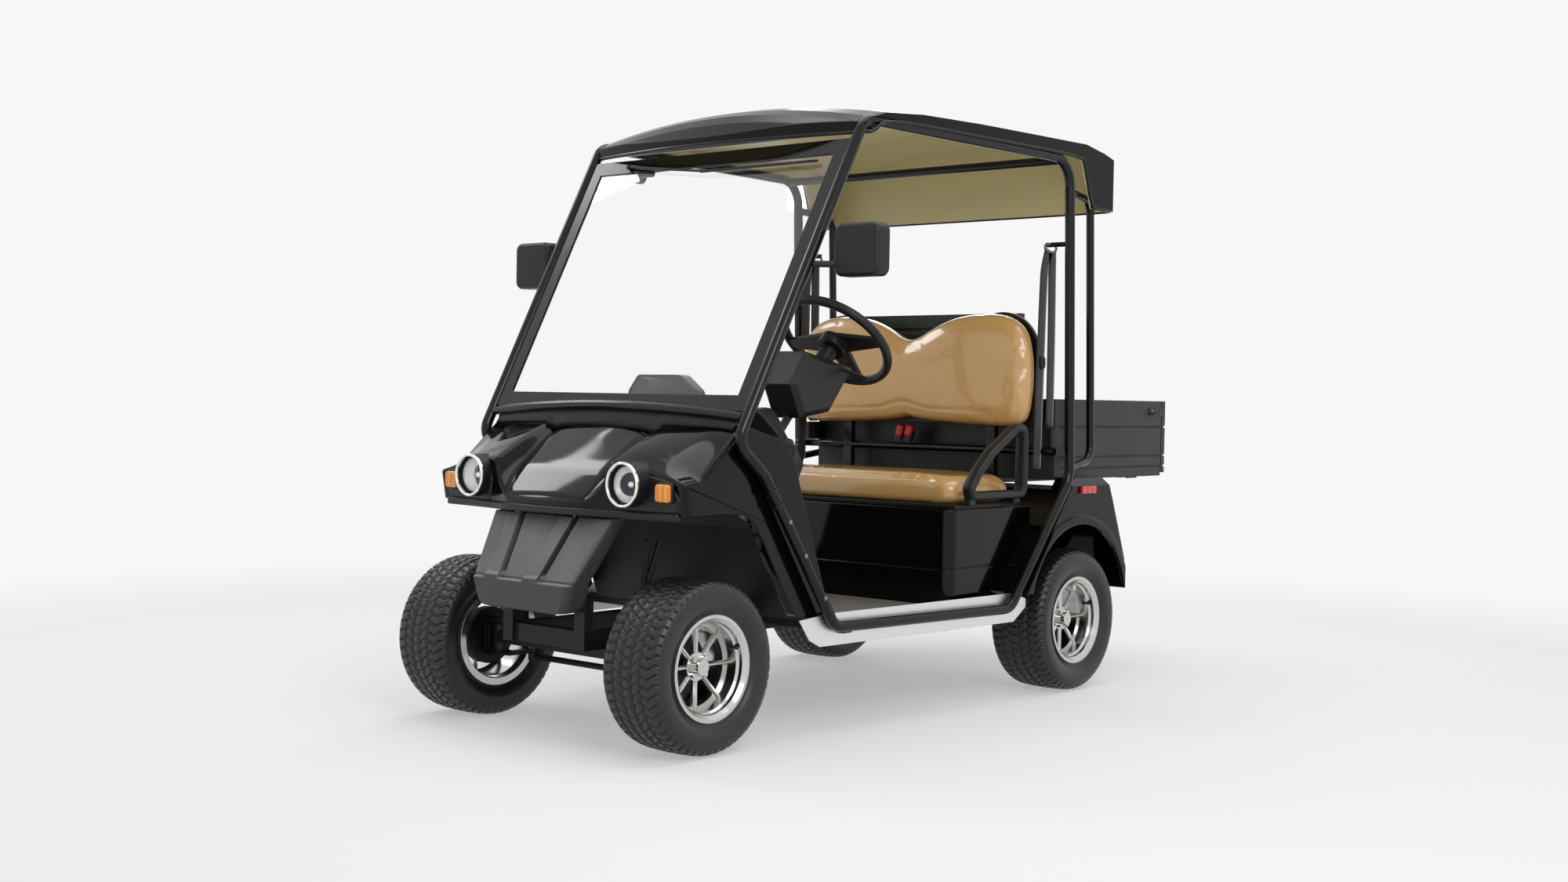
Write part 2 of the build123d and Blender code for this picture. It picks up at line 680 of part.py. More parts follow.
def lamp_lens():
    """A shallow dome of glass that fills the ring's mouth."""
    radius = LAMP_RADIUS - SEAT_GAP
    ball = (radius * radius + LENS_DOME * LENS_DOME) / (2 * LENS_DOME)
    back = LAMP_FRONT_Y + LENS_DOME - SEAT_GAP
    centre_y = back - LENS_DOME + ball
    slab = rod((LAMP_X, back - LENS_DOME, LAMP_Z), (LAMP_X, back, LAMP_Z), radius)
    return slab & (Pos(LAMP_X, centre_y, LAMP_Z) * Sphere(ball))


def indicator():
    """A round lamp with a domed front."""
    front = INDICATOR_FRONT_Y
    body = rod((INDICATOR_X, front, INDICATOR_Z), (INDICATOR_X, front + INDICATOR_DEPTH, INDICATOR_Z),
               INDICATOR_RADIUS)
    ball = INDICATOR_RADIUS * 2
    return body & (Pos(INDICATOR_X, front + ball, INDICATOR_Z) * Sphere(ball))


def apron_slot(side):
    """One long groove down the apron's front, from under the lip to the step."""
    x, y, z = GROOVE_FOOT
    foot = Vector(side * x, y, z)
    run = Vector(side * GROOVE_TOP[0], GROOVE_TOP[1], GROOVE_TOP[2]) - foot
    reach = 2 * APRON_SWEEP
    slot = Rectangle(GROOVE_WIDTH, reach)
    plane = Plane(origin=foot, x_dir=Vector(1, 0, 0).cross(run).cross(run) * -1, z_dir=run)
    return extrude(plane * (Pos(0, -reach / 2) * slot), amount=run.length)


def bumper_apron():
    """The panel between the front wheels: swept sides, two deep grooves and a proud lower bumper."""
    sections = []
    rows = ((APRON_LOW_Z, APRON_LOW_HALF, APRON_LOW_Y), (APRON_MID_Z, APRON_MID_HALF, APRON_MID_Y),
            (APRON_TOP_Z, APRON_TOP_HALF, APRON_TOP_Y))
    for z, half, y in rows:
        swept = y + APRON_SWEEP
        corners = [(-half, swept), (-half + APRON_SWEEP, y), (half - APRON_SWEEP, y), (half, swept),
                   (half, swept + APRON_DEPTH), (-half, swept + APRON_DEPTH)]
        sections.append(Plane.XY.offset(z) * make_face(outline(corners)))
    panel = loft(sections, ruled=True)
    for side in (-1, 1):
        panel -= apron_slot(side)
    low, mid = APRON_LOW_HALF, APRON_MID_HALF
    near, far = APRON_MID_Y - APRON_PROUD, APRON_MID_Y + APRON_SWEEP
    step = APRON_MID_Z - STEP_HEIGHT
    plate = prism_z([(-mid + APRON_SWEEP, near), (mid - APRON_SWEEP, near), (mid, far), (-mid, far)],
                    APRON_LOW_Z, step)
    panel += plate
    corner = APRON_CORNER
    side = low + (mid - low) * corner / (APRON_MID_Z - APRON_LOW_Z)
    turn, foot, head = APRON_LOW_Z + corner / 3, APRON_LOW_Z, APRON_TOP_Z
    front = [(low - corner, foot), ((low, turn), (side, foot + corner)), (mid, APRON_MID_Z),
             (APRON_TOP_HALF, head), (-APRON_TOP_HALF, head), (-mid, APRON_MID_Z), (-side, foot + corner),
             ((-low, turn), (-low + corner, foot))]
    return panel & prism_y(front, APRON_MID_Y * 2, 0)


def column_plane(distance):
    """A plane square to the steering column, a distance down from the steering wheel."""
    angle = math.radians(COLUMN_TILT)
    normal = Vector(0, math.sin(angle), math.cos(angle))
    centre = Vector(DRIVER_X, WHEEL_Y, WHEEL_Z) - normal * distance
    return Plane(origin=centre, x_dir=(1, 0, 0), z_dir=normal)


def steering_wheel():
    """Round rim, hub and three spokes that widen into the hub's pad."""
    rim = column_plane(0) * Torus(STEER_RIM_RADIUS, STEER_TUBE_RADIUS)
    hub = extrude(column_plane(STEER_HUB_THICK) * Circle(STEER_HUB_RADIUS), amount=STEER_HUB_THICK)
    wheel = rim + hub
    root, tip = SPOKE_ROOT_HALF, SPOKE_TIP_HALF
    shape = make_face(outline([(0, -root), (STEER_RIM_RADIUS, -tip), (STEER_RIM_RADIUS, tip), (0, root)]))
    arm = extrude(Plane.XY.offset(-STEER_SPOKE_THICK) * shape, amount=STEER_SPOKE_THICK)
    for angle in (0, 90, 180):
        wheel += column_plane(0) * Rot(0, 0, angle) * arm
    bore = extrude(column_plane(STEER_HUB_THICK) * Circle(COLUMN_RADIUS + RUNNING_GAP),
                   amount=STEER_HUB_THICK / 2)
    return wheel - bore


def steering_column():
    """The faceted shroud with its collar and lever, and the shaft that the steering wheel turns on."""
    shroud = prism_x(SHROUD_SIDE, DRIVER_X - SHROUD_HALF, DRIVER_X + SHROUD_HALF)
    ends = shroud.faces().sort_by(Axis.X)
    shroud = chamfer(ends[0].edges() + ends[-1].edges(), SHROUD_CHAMFER)
    start = STEER_HUB_THICK + MOVE_GAP
    shroud += extrude(column_plane(start + COLLAR_LENGTH) * Circle(COLLAR_RADIUS), amount=COLLAR_LENGTH)
    root = column_plane(start + COLLAR_LENGTH / 2).origin
    shroud += rod(tuple(root), (root.X + STALK_LENGTH, root.Y + STALK_LENGTH / 5,
                                root.Z - STALK_LENGTH / 3), STALK_RADIUS)
    shaft_top = column_plane(COLUMN_LENGTH) * Circle(COLUMN_RADIUS)
    return shroud + extrude(shaft_top, amount=COLUMN_LENGTH - STEER_HUB_THICK / 2 - MOVE_GAP)


def column_bore():
    far = column_plane(COLUMN_LENGTH + OVERRUN) * Circle(COLUMN_RADIUS + SEAT_GAP)
    return extrude(far, amount=COLUMN_LENGTH)


def dash():
    body = prism_x([(DASH_FRONT_Y, DASH_LOW_Z), (DASH_REAR_Y - OVERRUN, DASH_LOW_Z),
                    (DASH_REAR_Y, DASH_TOP_Z - OVERRUN),
                    (DASH_REAR_Y - OVERRUN, DASH_TOP_Z), (DASH_FRONT_Y, DASH_TOP_Z)], -DASH_HALF, DASH_HALF)
    rise = (POD_TOP_Z - DASH_TOP_Z) / 2
    low, middle = DASH_TOP_Z - OVERRUN, DASH_TOP_Z + rise
    front = [(POD_LOW_X, low), (POD_HIGH_X, low), (POD_HIGH_X - rise / 2, middle),
             (POD_HIGH_X - 2 * rise, POD_TOP_Z),
             (POD_LOW_X + rise, POD_TOP_Z), (POD_LOW_X, middle)]
    hump = prism_y(front, DASH_FRONT_Y, DASH_REAR_Y - OVERRUN)
    return body + hump - column_bore()


def pedals():
    pieces = []
    for x in (BRAKE_X, THROTTLE_X):
        pad = block(x - PEDAL_WIDTH / 2, x + PEDAL_WIDTH / 2, PEDAL_Y, PEDAL_Y + PEDAL_THICK,
                    PEDAL_Z - PEDAL_HEIGHT / 2,
                    PEDAL_Z + PEDAL_HEIGHT / 2)
        arm = rod((x, PEDAL_Y, PEDAL_Z), (x, PEDAL_PIVOT_Y, DASH_LOW_Z), PEDAL_ARM_RADIUS)
        lower = block(x - PEDAL_WIDTH, x + PEDAL_WIDTH, 0, PEDAL_Y, DASH_LOW_Z - SEAT_GAP,
                      DASH_LOW_Z + OVERRUN)
        pieces.append(pad + arm - lower)
    return pieces


def toe_line():
    """The toe board's slope from the floor up to the dash, as (y, z) points."""
    return [(FLOOR_FRONT_Y, FLOOR_Z), (TOE_TOP_Y, TOE_TOP_Z), (TOE_HEAD_Y, DASH_LOW_Z - SEAT_GAP)]


def floor_pan():
    front, top, head = toe_line()
    points = [(FLOOR_REAR_Y, FLOOR_Z), front, top, head, (head[0] + FLOOR_THICK, head[1]),
              (top[0] + FLOOR_THICK, top[1]),
              (front[0] + FLOOR_THICK, front[1] + FLOOR_THICK), (FLOOR_REAR_Y, FLOOR_Z + FLOOR_THICK)]
    inner = COWL_HALF - SIDE_PANEL_THICK - SEAT_GAP
    pan = prism_x(points, -inner, inner)
    wings = block(-FLOOR_HALF, FLOOR_HALF, FLOOR_FRONT_Y, FLOOR_REAR_Y, FLOOR_Z, FLOOR_Z + FLOOR_THICK)
    return pan + wings


def carriers(side):
    """On one rail: the apron's bracket, the spring's hangers and the posts under the deck."""
    inner, outer = RAIL_X - RAIL_WIDTH / 2, RAIL_X + RAIL_WIDTH / 2
    low, kicked = RAIL_TOP_Z - RAIL_HEIGHT, RAIL_TOP_Z + RAIL_KICK
    apron_back = APRON_LOW_Y + APRON_SWEEP + APRON_DEPTH + SEAT_GAP
    piece = block(inner, outer, apron_back, RAIL_FRONT_Y + HANGER_DEPTH, low, APRON_LOW_Z + RAIL_WIDTH)
    far = SPRING_X + SPRING_WIDTH / 2
    spring_z = TYRE_RADIUS + AXLE_TUBE_RADIUS + SPRING_DROP
    end = WHEELBASE - SPRING_HALF - SEAT_GAP
    pieces = [piece, block(inner, far, end - HANGER_DEPTH, end, spring_z - SPRING_THICK, RAIL_TOP_Z)]
    end = WHEELBASE + SPRING_HALF + SEAT_GAP
    pieces.append(block(inner, far, end, end + HANGER_DEPTH, spring_z - SPRING_THICK, kicked))
    for y in DECK_POST_YS:
        pieces.append(block(inner, outer, y, y + CROSS_DEPTH, kicked - RAIL_HEIGHT,
                            DECK_Z - BODY_WALL - SEAT_GAP))
    pieces = Compound(children=pieces)
    return pieces.solids() if side > 0 else mirror(pieces, about=Plane.YZ).solids()


def chassis_frame():
    """Two box rails that kick up over the rear axle, joined by cross members."""
    top = RAIL_TOP_Z
    low = top - RAIL_HEIGHT
    kick = RAIL_KICK
    points = [(RAIL_FRONT_Y, low), (RAIL_KICK_FRONT_Y, low), (RAIL_KICK_REAR_Y, low + kick),
              (RAIL_REAR_Y, low + kick),
              (RAIL_REAR_Y, top + kick), (RAIL_KICK_REAR_Y, top + kick), (RAIL_KICK_FRONT_Y, top),
              (RAIL_FRONT_Y, top)]
    rail = prism_x(points, RAIL_X - RAIL_WIDTH / 2, RAIL_X + RAIL_WIDTH / 2)
    frame = rail + mirror(rail, about=Plane.YZ)
    for y in (RAIL_FRONT_Y, FLOOR_FRONT_Y, SEAT_BASE_FRONT_Y, RAIL_KICK_FRONT_Y - CROSS_DEPTH):
        frame += block(-RAIL_X, RAIL_X, y, y + CROSS_DEPTH, low, top)
    for y in (RAIL_KICK_REAR_Y, RAIL_REAR_Y - CROSS_DEPTH):
        frame += block(-RAIL_X, RAIL_X, y, y + CROSS_DEPTH, low + kick, top + kick)
    for y in (FLOOR_FRONT_Y, SEAT_BASE_FRONT_Y - CROSS_DEPTH):
        half = hoop_x(y)
        frame += block(-half, half, y, y + CROSS_DEPTH, top - CROSS_DEPTH / 2, top)
    for envelope in hoop_envelopes():
        frame = max((frame - envelope).solids(), key=lambda solid: solid.volume)
    for side in (-1, 1):
        frame += carriers(side)
    return frame


def sill_trim():
    """A bright plate behind the sill run, seen above and below the tube, with a step on the floor."""
    front, rear = SILL_FRONT, SILL_REAR
    side = [(front[0] - TRIM_STEP, TRIM_LOW_Z), (rear[0] + TRIM_STEP, TRIM_LOW_Z),
            (TRIM_REAR[0], TRIM_LOW_Z + TRIM_STEP), TRIM_REAR, (rear[0] + TRIM_STEP, TRIM_TOP_Z),
            (front[0], TRIM_TOP_Z),
            TRIM_FRONT, (TRIM_FRONT[0] + TRIM_STEP, TRIM_LOW_Z + TRIM_STEP / 2)]
    reach = HOOP_RADIUS + SEAT_GAP
    ends = [(hoop_x(y) - reach, y) for y in (TRIM_FRONT[0], TRIM_REAR[0])]
    plan = ends + [(x - TRIM_THICK, y) for x, y in reversed(ends)]
    plate = prism_x(side, 0, BODY_HALF) & prism_z(plan, TRIM_LOW_Z, TRIM_TOP_Z)
    for y in (FLOOR_FRONT_Y, SEAT_BASE_FRONT_Y - CROSS_DEPTH):
        foot = RAIL_TOP_Z - CROSS_DEPTH / 2 - SEAT_GAP
        plate -= block(0, BODY_HALF, y - SEAT_GAP, y + CROSS_DEPTH + SEAT_GAP, foot, RAIL_TOP_Z + SEAT_GAP)
    low = FLOOR_Z + FLOOR_THICK + SEAT_GAP
    near, far = FLOOR_FRONT_Y + TRIM_STEP, FLOOR_REAR_Y
    step = [(hoop_x(near) - reach, near), (hoop_x(far) - reach, far), (FLOOR_HALF - TRIM_STEP, far),
            (FLOOR_HALF - TRIM_STEP, near)]
    return plate + prism_z(step, low, low + TRIM_THICK)


def plan_prism(inset, low, high):
    """The roof's plan: a bowed front edge, sides that open to the rear and round rear corners."""
    front, rear = ROOF_HALF_FRONT - inset, ROOF_HALF_REAR - inset
    corner, nose, back = ROOF_CORNER_Y + inset, ROOF_FRONT_Y + inset, ROOF_REAR_Y - inset
    points = [(-front, corner), ((0, nose), (front, corner)), (rear, back), (-rear, back)]
    return prism_z(points, low, high)


# Roof crown stations: y share of the roof's length, centre height and edge height above the lip
ROOF_SHARES = [
    (-0.04, -0.1, -0.5), (0.0, 0.12, -0.3), (0.025, 0.36, -0.16), (0.05, 0.52, -0.04), (0.08, 0.62, 0.12),
    (0.13, 0.71, 0.27),
    (0.25, 0.79, 0.36), (0.46, 0.87, 0.4), (0.88, 1.0, 0.42), (0.96, 0.93, 0.3), (1.05, 0.75, 0.1),
]
ROOF_RISE = 164.0


def roof_body(drop, inset):
    length = ROOF_REAR_Y - ROOF_FRONT_Y
    sections = []
    for y_share, centre, edge in ROOF_SHARES:
        y = ROOF_FRONT_Y + length * y_share
        half = ROOF_LOFT_HALF
        top = ROOF_LIP_Z + ROOF_RISE * centre - drop
        side = ROOF_LIP_Z + ROOF_RISE * edge - drop
        low = ROOF_SKIRT_Z - OVERRUN
        points = [(-half, low), (half, low), (half, side), ((0, top), (-half, side))]
        sections.append(Plane.XZ.offset(-y) * make_face(outline(points)))
    return loft(sections, ruled=True) & plan_prism(inset, ROOF_SKIRT_Z - OVERRUN, ROOF_LIP_Z + ROOF_RISE * 2)


def below_roof():
    """What is cut away under the roof: a low lip in front, a high edge, a skirt at the rear."""
    front = ROOF_CORNER_Y + OVERRUN / 2
    skirt = ROOF_REAR_Y - 2 * OVERRUN
    low = ROOF_SKIRT_Z - 2 * OVERRUN
    return prism_x([(0, low), (0, ROOF_LIP_Z), (front, ROOF_LIP_Z), (front + OVERRUN, ROOF_EDGE_Z),
                    (skirt - OVERRUN, ROOF_EDGE_Z), (skirt, ROOF_SKIRT_Z),
                    (skirt + 4 * OVERRUN, ROOF_SKIRT_Z),
                    (skirt + 4 * OVERRUN, low)], -ROOF_LOFT_HALF, ROOF_LOFT_HALF)


def hoop_envelopes():
    envelope = hoop(HOOP_RADIUS + SEAT_GAP) + rear_loop(LOOP_RADIUS + SEAT_GAP)
    return [envelope, mirror(envelope, about=Plane.YZ)]


def roof_skin(near, far):
    """The layer between two depths below the roof's surface, opened where the hoops pass."""
    skin = roof_body(near, near) - roof_body(far, far) - below_roof()
    for envelope in hoop_envelopes():
        skin -= envelope
    return max(skin.solids(), key=lambda solid: solid.volume)


def roof_shell():
    return roof_skin(0, ROOF_SKIN)


def roof_liner():
    near = ROOF_SKIN + SEAT_GAP
    return roof_skin(near, near + LINER_SKIN)


def roof_cross_tubes():
    pieces = []
    for y in (CROSS_FRONT_Y, CROSS_REAR_Y):
        bar = rod((-hoop_x(y), y, CROSS_TUBE_Z), (hoop_x(y), y, CROSS_TUBE_Z), CROSS_TUBE_RADIUS)
        for envelope in hoop_envelopes():
            bar -= envelope
        pieces.append(max(bar.solids(), key=lambda solid: solid.volume))
    return pieces


def seat_side(wall, rise):
    """The seat base seen from the side: its back slopes in below, over the rear wheels."""
    heel_y, heel_z = SEAT_BASE_HEEL
    front, rear = SEAT_BASE_FRONT_Y + wall, SEAT_BASE_REAR_Y - wall
    return [(front, SEAT_BASE_LOW_Z + wall), (front, SEAT_BASE_TOP_Z + rise), (rear, SEAT_BASE_TOP_Z + rise),
            (rear, heel_z), (heel_y - wall, SEAT_BASE_LOW_Z + wall)]


def fronted(body, radius):
    """Rounds a body's two upright edges at its front."""
    upright = body.edges().filter_by(Axis.Z).group_by(Axis.Y)[0]
    return fillet(upright, radius)


def seat_base():
    """The hollow body box under the seat, open at the top over the batteries."""
    wall = SEAT_BASE_WALL
    box = fronted(prism_x(seat_side(0, 0), -SEAT_HALF, SEAT_HALF), SEAT_BASE_CORNER)
    box -= fronted(prism_x(seat_side(wall, OVERRUN), -SEAT_HALF + wall, SEAT_HALF - wall),
                   SEAT_BASE_CORNER - wall)
    reach = SEAT_HALF + OVERRUN
    band = block(-reach, reach, 0, SEAT_BASE_REAR_Y, CREASE_Z, CREASE_Z + CREASE_HEIGHT)
    depth = CREASE_DEPTH
    core = fronted(prism_x(seat_side(depth, OVERRUN), -SEAT_HALF + depth, SEAT_HALF - depth),
                   SEAT_BASE_CORNER - depth)
    box -= band - core
    for x in (-SEAT_HINGE_X, SEAT_HINGE_X):
        low = SEAT_BASE_TOP_Z - SEAT_BASE_WALL
        box += hinge_ears(x, SEAT_HINGE_Y, SEAT_HINGE_Z, SEAT_BASE_REAR_Y, low,
                          SEAT_HINGE_Z + HINGE_LUG_RADIUS)
    return box


def battery_pack():
    low = SEAT_BASE_LOW_Z + SEAT_BASE_WALL
    return block(-BATTERY_HALF, BATTERY_HALF, BATTERY_FRONT_Y, BATTERY_REAR_Y, low, low + BATTERY_HEIGHT)


def seat_board():
    low = SEAT_BASE_TOP_Z + SEAT_GAP
    board = block(-CUSHION_HALF, CUSHION_HALF, CUSHION_FRONT_Y, CUSHION_REAR_Y, low, low + SEAT_BOARD_THICK)
    for x in (-SEAT_HINGE_X, SEAT_HINGE_X):
        half = HINGE_LUG_WIDTH / 2
        board += block(x - half, x + half, CUSHION_REAR_Y, SEAT_HINGE_Y, low, low + SEAT_BOARD_THICK)
        board += lug(x, SEAT_HINGE_Y, SEAT_HINGE_Z, HINGE_LUG_WIDTH, HINGE_LUG_RADIUS)
        board -= hinge_bore(x, SEAT_HINGE_Y, SEAT_HINGE_Z)
    return board


def seat_cushion():
    low = SEAT_BASE_TOP_Z + SEAT_BOARD_THICK + 2 * SEAT_GAP
    pad = block(-CUSHION_HALF, CUSHION_HALF, CUSHION_FRONT_Y, CUSHION_REAR_Y, low, low + CUSHION_THICK)
    return fillet(pad.edges().filter_by(Axis.Z) + pad.edges().group_by(Axis.Z)[-1], CUSHION_CORNER)


def back_outline(inset):
    """The backrest seen from the front: two humps with a notch between them."""
    half = BACK_HALF - inset
    top = BACK_HIGH_Z - inset
    low = BACK_LOW_Z + inset
    notch = BACK_NOTCH_Z - inset
    crown = POST_X
    shoulder = BACK_LOW_Z + (BACK_HIGH_Z - BACK_LOW_Z) * 0.72
    return [(-half, low), (half, low), (half, shoulder), ((half * 0.9, top - (top - shoulder) * 0.3),
                                                          (crown, top)),
            (0, notch), (-crown, top), ((-half * 0.9, top - (top - shoulder) * 0.3), (-half, shoulder))]


def leaned(shape):
    """Turns a piece drawn upright about the backrest's lower front edge."""
    hinge = Axis((0, BACK_FRONT_Y, BACK_LOW_Z), (1, 0, 0))
    return shape.rotate(hinge, -BACK_LEAN)


def backrest_cushion():
    return leaned(prism_y(back_outline(0), BACK_FRONT_Y, BACK_FRONT_Y + BACK_THICK))


def backrest_shell():
    front = BACK_FRONT_Y + BACK_THICK + SEAT_GAP
    return leaned(prism_y(back_outline(BACK_SHELL_THICK / 2), front, front + BACK_SHELL_THICK))


def backrest_frame():
    """Two flat posts behind the seat on a cross bar that ends at the side hoops."""
    y = POST_Y + POST_DEPTH / 2
    half = hoop_x(HOOP_REAR_FOOT[0]) - HOOP_RADIUS - SEAT_GAP - CROSS_BAR_RADIUS
    frame = rod((-half, y, CROSS_BAR_Z), (half, y, CROSS_BAR_Z), CROSS_BAR_RADIUS)
    for x in (-POST_X, POST_X):
        left, right = x - POST_WIDTH / 2, x + POST_WIDTH / 2
        frame += block(left, right, POST_Y, POST_Y + POST_DEPTH, SEAT_BASE_TOP_Z, BACK_LOW_Z)
        frame += leaned(block(left, right, POST_Y, POST_Y + POST_DEPTH, BACK_LOW_Z,
                              BACK_LOW_Z + POST_TOP_RISE))
    return frame - prism_x(body_side(-SEAT_GAP), -BODY_HALF, BODY_HALF)


def armrest():
    """A flat moulded loop on two feet that reach back to the seat base."""
    low, high = ARM_X - ARM_WIDTH / 2, ARM_X + ARM_WIDTH / 2
    arm = prism_x(ARM_OUTSIDE, low, high) - prism_x(ARM_INSIDE, low - OVERRUN, high + OVERRUN)
    ends = arm.faces().sort_by(Axis.X)
    arm = chamfer(ends[-1].edges(), ARM_EDGE)
    for y in ARM_FOOT_YS:
        arm += block(SEAT_HALF + SEAT_GAP, ARM_X, y, y + ARM_FOOT, SEAT_BASE_TOP_Z - ARM_FOOT / 2,
                     ARM_LOW_Z + ARM_EDGE)
    return arm


def belt_webbing():
    y = BELT_POST_Y
    return block(BELT_X - BELT_WIDTH / 2, BELT_X + BELT_WIDTH / 2, y, y + BELT_THICK, RETRACTOR_Z,
                 BELT_TOP_Z)


def belt_retractor():
    y = BELT_POST_Y
    half = RETRACTOR_SIZE / 2
    return block(BELT_X - half, BELT_X + half, y - half, y + half,
                 RETRACTOR_Z - SEAT_GAP - RETRACTOR_SIZE, RETRACTOR_Z - SEAT_GAP)


def belt_buckle():
    y = POST_Y + POST_DEPTH / 2 - BUCKLE_THICK / 2
    return block(BUCKLE_X, BUCKLE_X + BUCKLE_WIDTH, y, y + BUCKLE_THICK, BUCKLE_Z, BUCKLE_Z + BUCKLE_HEIGHT)


def mirror_housing():
    """A rounded shell on a short arm, open at the back for its glass."""
    y = MIRROR_Y
    head = block(MIRROR_INNER_X, MIRROR_OUTER_X, y - MIRROR_DEPTH / 2, y + MIRROR_DEPTH / 2, MIRROR_LOW_Z,
                 MIRROR_TOP_Z)
    head = fillet(head.edges().filter_by(Axis.Y), MIRROR_CORNER)
    head = fillet(head.faces().sort_by(Axis.Y)[0].edges(), MIRROR_CORNER / 2)
    rim = MIRROR_CORNER / 3
    glass = MIRROR_GLASS_THICK + SEAT_GAP
    head -= block(MIRROR_INNER_X + rim, MIRROR_OUTER_X - rim, y + MIRROR_DEPTH / 2 - glass, y + MIRROR_DEPTH,
                  MIRROR_LOW_Z + rim, MIRROR_TOP_Z - rim)
    root = (hoop_x(pillar_y(MIRROR_ROOT_Z)), pillar_y(MIRROR_ROOT_Z), MIRROR_ROOT_Z)
    arm = rod(root, (MIRROR_INNER_X + MIRROR_CORNER, y, MIRROR_ROOT_Z), MIRROR_ARM_RADIUS)
    return head + arm - hoop(HOOP_RADIUS + SEAT_GAP)


def mirror_glass():
    back = MIRROR_Y + MIRROR_DEPTH / 2
    rim = MIRROR_CORNER / 3 + SEAT_GAP
    return block(MIRROR_INNER_X + rim, MIRROR_OUTER_X - rim, back - MIRROR_GLASS_THICK, back,
                 MIRROR_LOW_Z + rim,
                 MIRROR_TOP_Z - rim)


def body_side(inset):
    """The rear body seen from the side, moved in by a wall."""
    return [(BODY_FRONT_LOW[0] + inset, BODY_FRONT_LOW[1]), (BODY_TOP_FRONT_Y + inset, BODY_TOP_Z - inset),
            (BODY_TOP_REAR_Y - inset / 2, BODY_TOP_Z - inset), (BODY_SHOULDER[0] - inset, BODY_SHOULDER[1]),
            (BODY_REAR_Y - inset, BODY_REAR_TOP_Z), (BODY_REAR_Y - inset, BODY_REAR_LOW_Z)]


def body_front(inset):
    """The rear body seen from behind: straight sides with sloped shoulders, moved in by a wall."""
    half, top, slope = BODY_HALF - inset, BODY_TOP_Z - inset, BODY_CHAMFER
    return [(-half, 0), (half, 0), (half, top - slope), (half - slope, top), (-half + slope, top),
            (-half, top - slope)]


def arch_flare():
    """A raised band round each rear wheel arch, held behind the body's own outline."""
    half = BODY_HALF + FLARE_PROUD
    band = rod((-half, WHEELBASE, ARCH_Z), (half, WHEELBASE, ARCH_Z), ARCH_RADIUS + FLARE_WIDTH)
    inner = BODY_HALF - BODY_WALL
    return (band & prism_x(body_side(0), -half, half)) - block(-inner, inner, 0, BOX_REAR_Y, 0, BODY_TOP_Z)


def rear_body():
    """A thin shell over the rear axle: a flat deck sunk between its sides, an arch over each wheel."""
    wall = BODY_WALL
    shell = prism_x(body_side(0), -BODY_HALF, BODY_HALF) & prism_y(body_front(0), 0, BOX_REAR_Y)
    shell -= block(-DECK_HALF, DECK_HALF, BODY_TOP_FRONT_Y - OVERRUN, BODY_REAR_Y, DECK_Z,
                   BODY_TOP_Z + OVERRUN)
    inner = prism_x(body_side(wall), -BODY_HALF + wall, BODY_HALF - wall)
    inner += block(-BODY_HALF + wall, BODY_HALF - wall, BODY_FRONT_LOW[0] - OVERRUN, BODY_REAR_Y - wall,
                   0, BODY_FRONT_LOW[1])
    inner = inner & prism_y(body_front(wall), 0, BOX_REAR_Y)
    inner -= block(-DECK_HALF - wall, DECK_HALF + wall, 0, BODY_REAR_Y, DECK_Z - wall, BODY_TOP_Z)
    shell -= inner
    shell += arch_flare()
    reach = SEAT_HALF + SEAT_GAP
    shell -= block(-reach, reach, 0, SEAT_BASE_REAR_Y + SEAT_GAP, 0, BODY_TOP_Z)
    return shell - rod((-BODY_HALF - OVERRUN, WHEELBASE, ARCH_Z),
                       (BODY_HALF + OVERRUN, WHEELBASE, ARCH_Z), ARCH_RADIUS)


def tail_lamp():
    y, z = TAIL_LAMP_Y, TAIL_LAMP_Z
    return block(BODY_HALF + SEAT_GAP, BODY_HALF + SEAT_GAP + TAIL_LAMP_THICK, y, y + TAIL_LAMP_LENGTH, z,
                 z + TAIL_LAMP_HEIGHT)


def rear_bumper():
    y = BODY_REAR_Y + SEAT_GAP
    z = BODY_REAR_LOW_Z
    return block(-BUMPER_HALF, BUMPER_HALF, y, y + BUMPER_DEPTH, z, z + BUMPER_HEIGHT)


def box_grooves(y_low, y_high):
    """Three grooves along each side of the box, and as many across its rear face."""
    depth, height = BOX_GROOVE_DEPTH, BOX_GROOVE_HEIGHT
    inner, outer = BOX_HALF - depth, BOX_HALF + OVERRUN
    pieces = []
    for z in BOX_GROOVE_ZS:
        pieces.append(block(inner, outer, y_low, y_high, z, z + height))
        pieces.append(block(-outer, -inner, y_low, y_high, z, z + height))
    return pieces


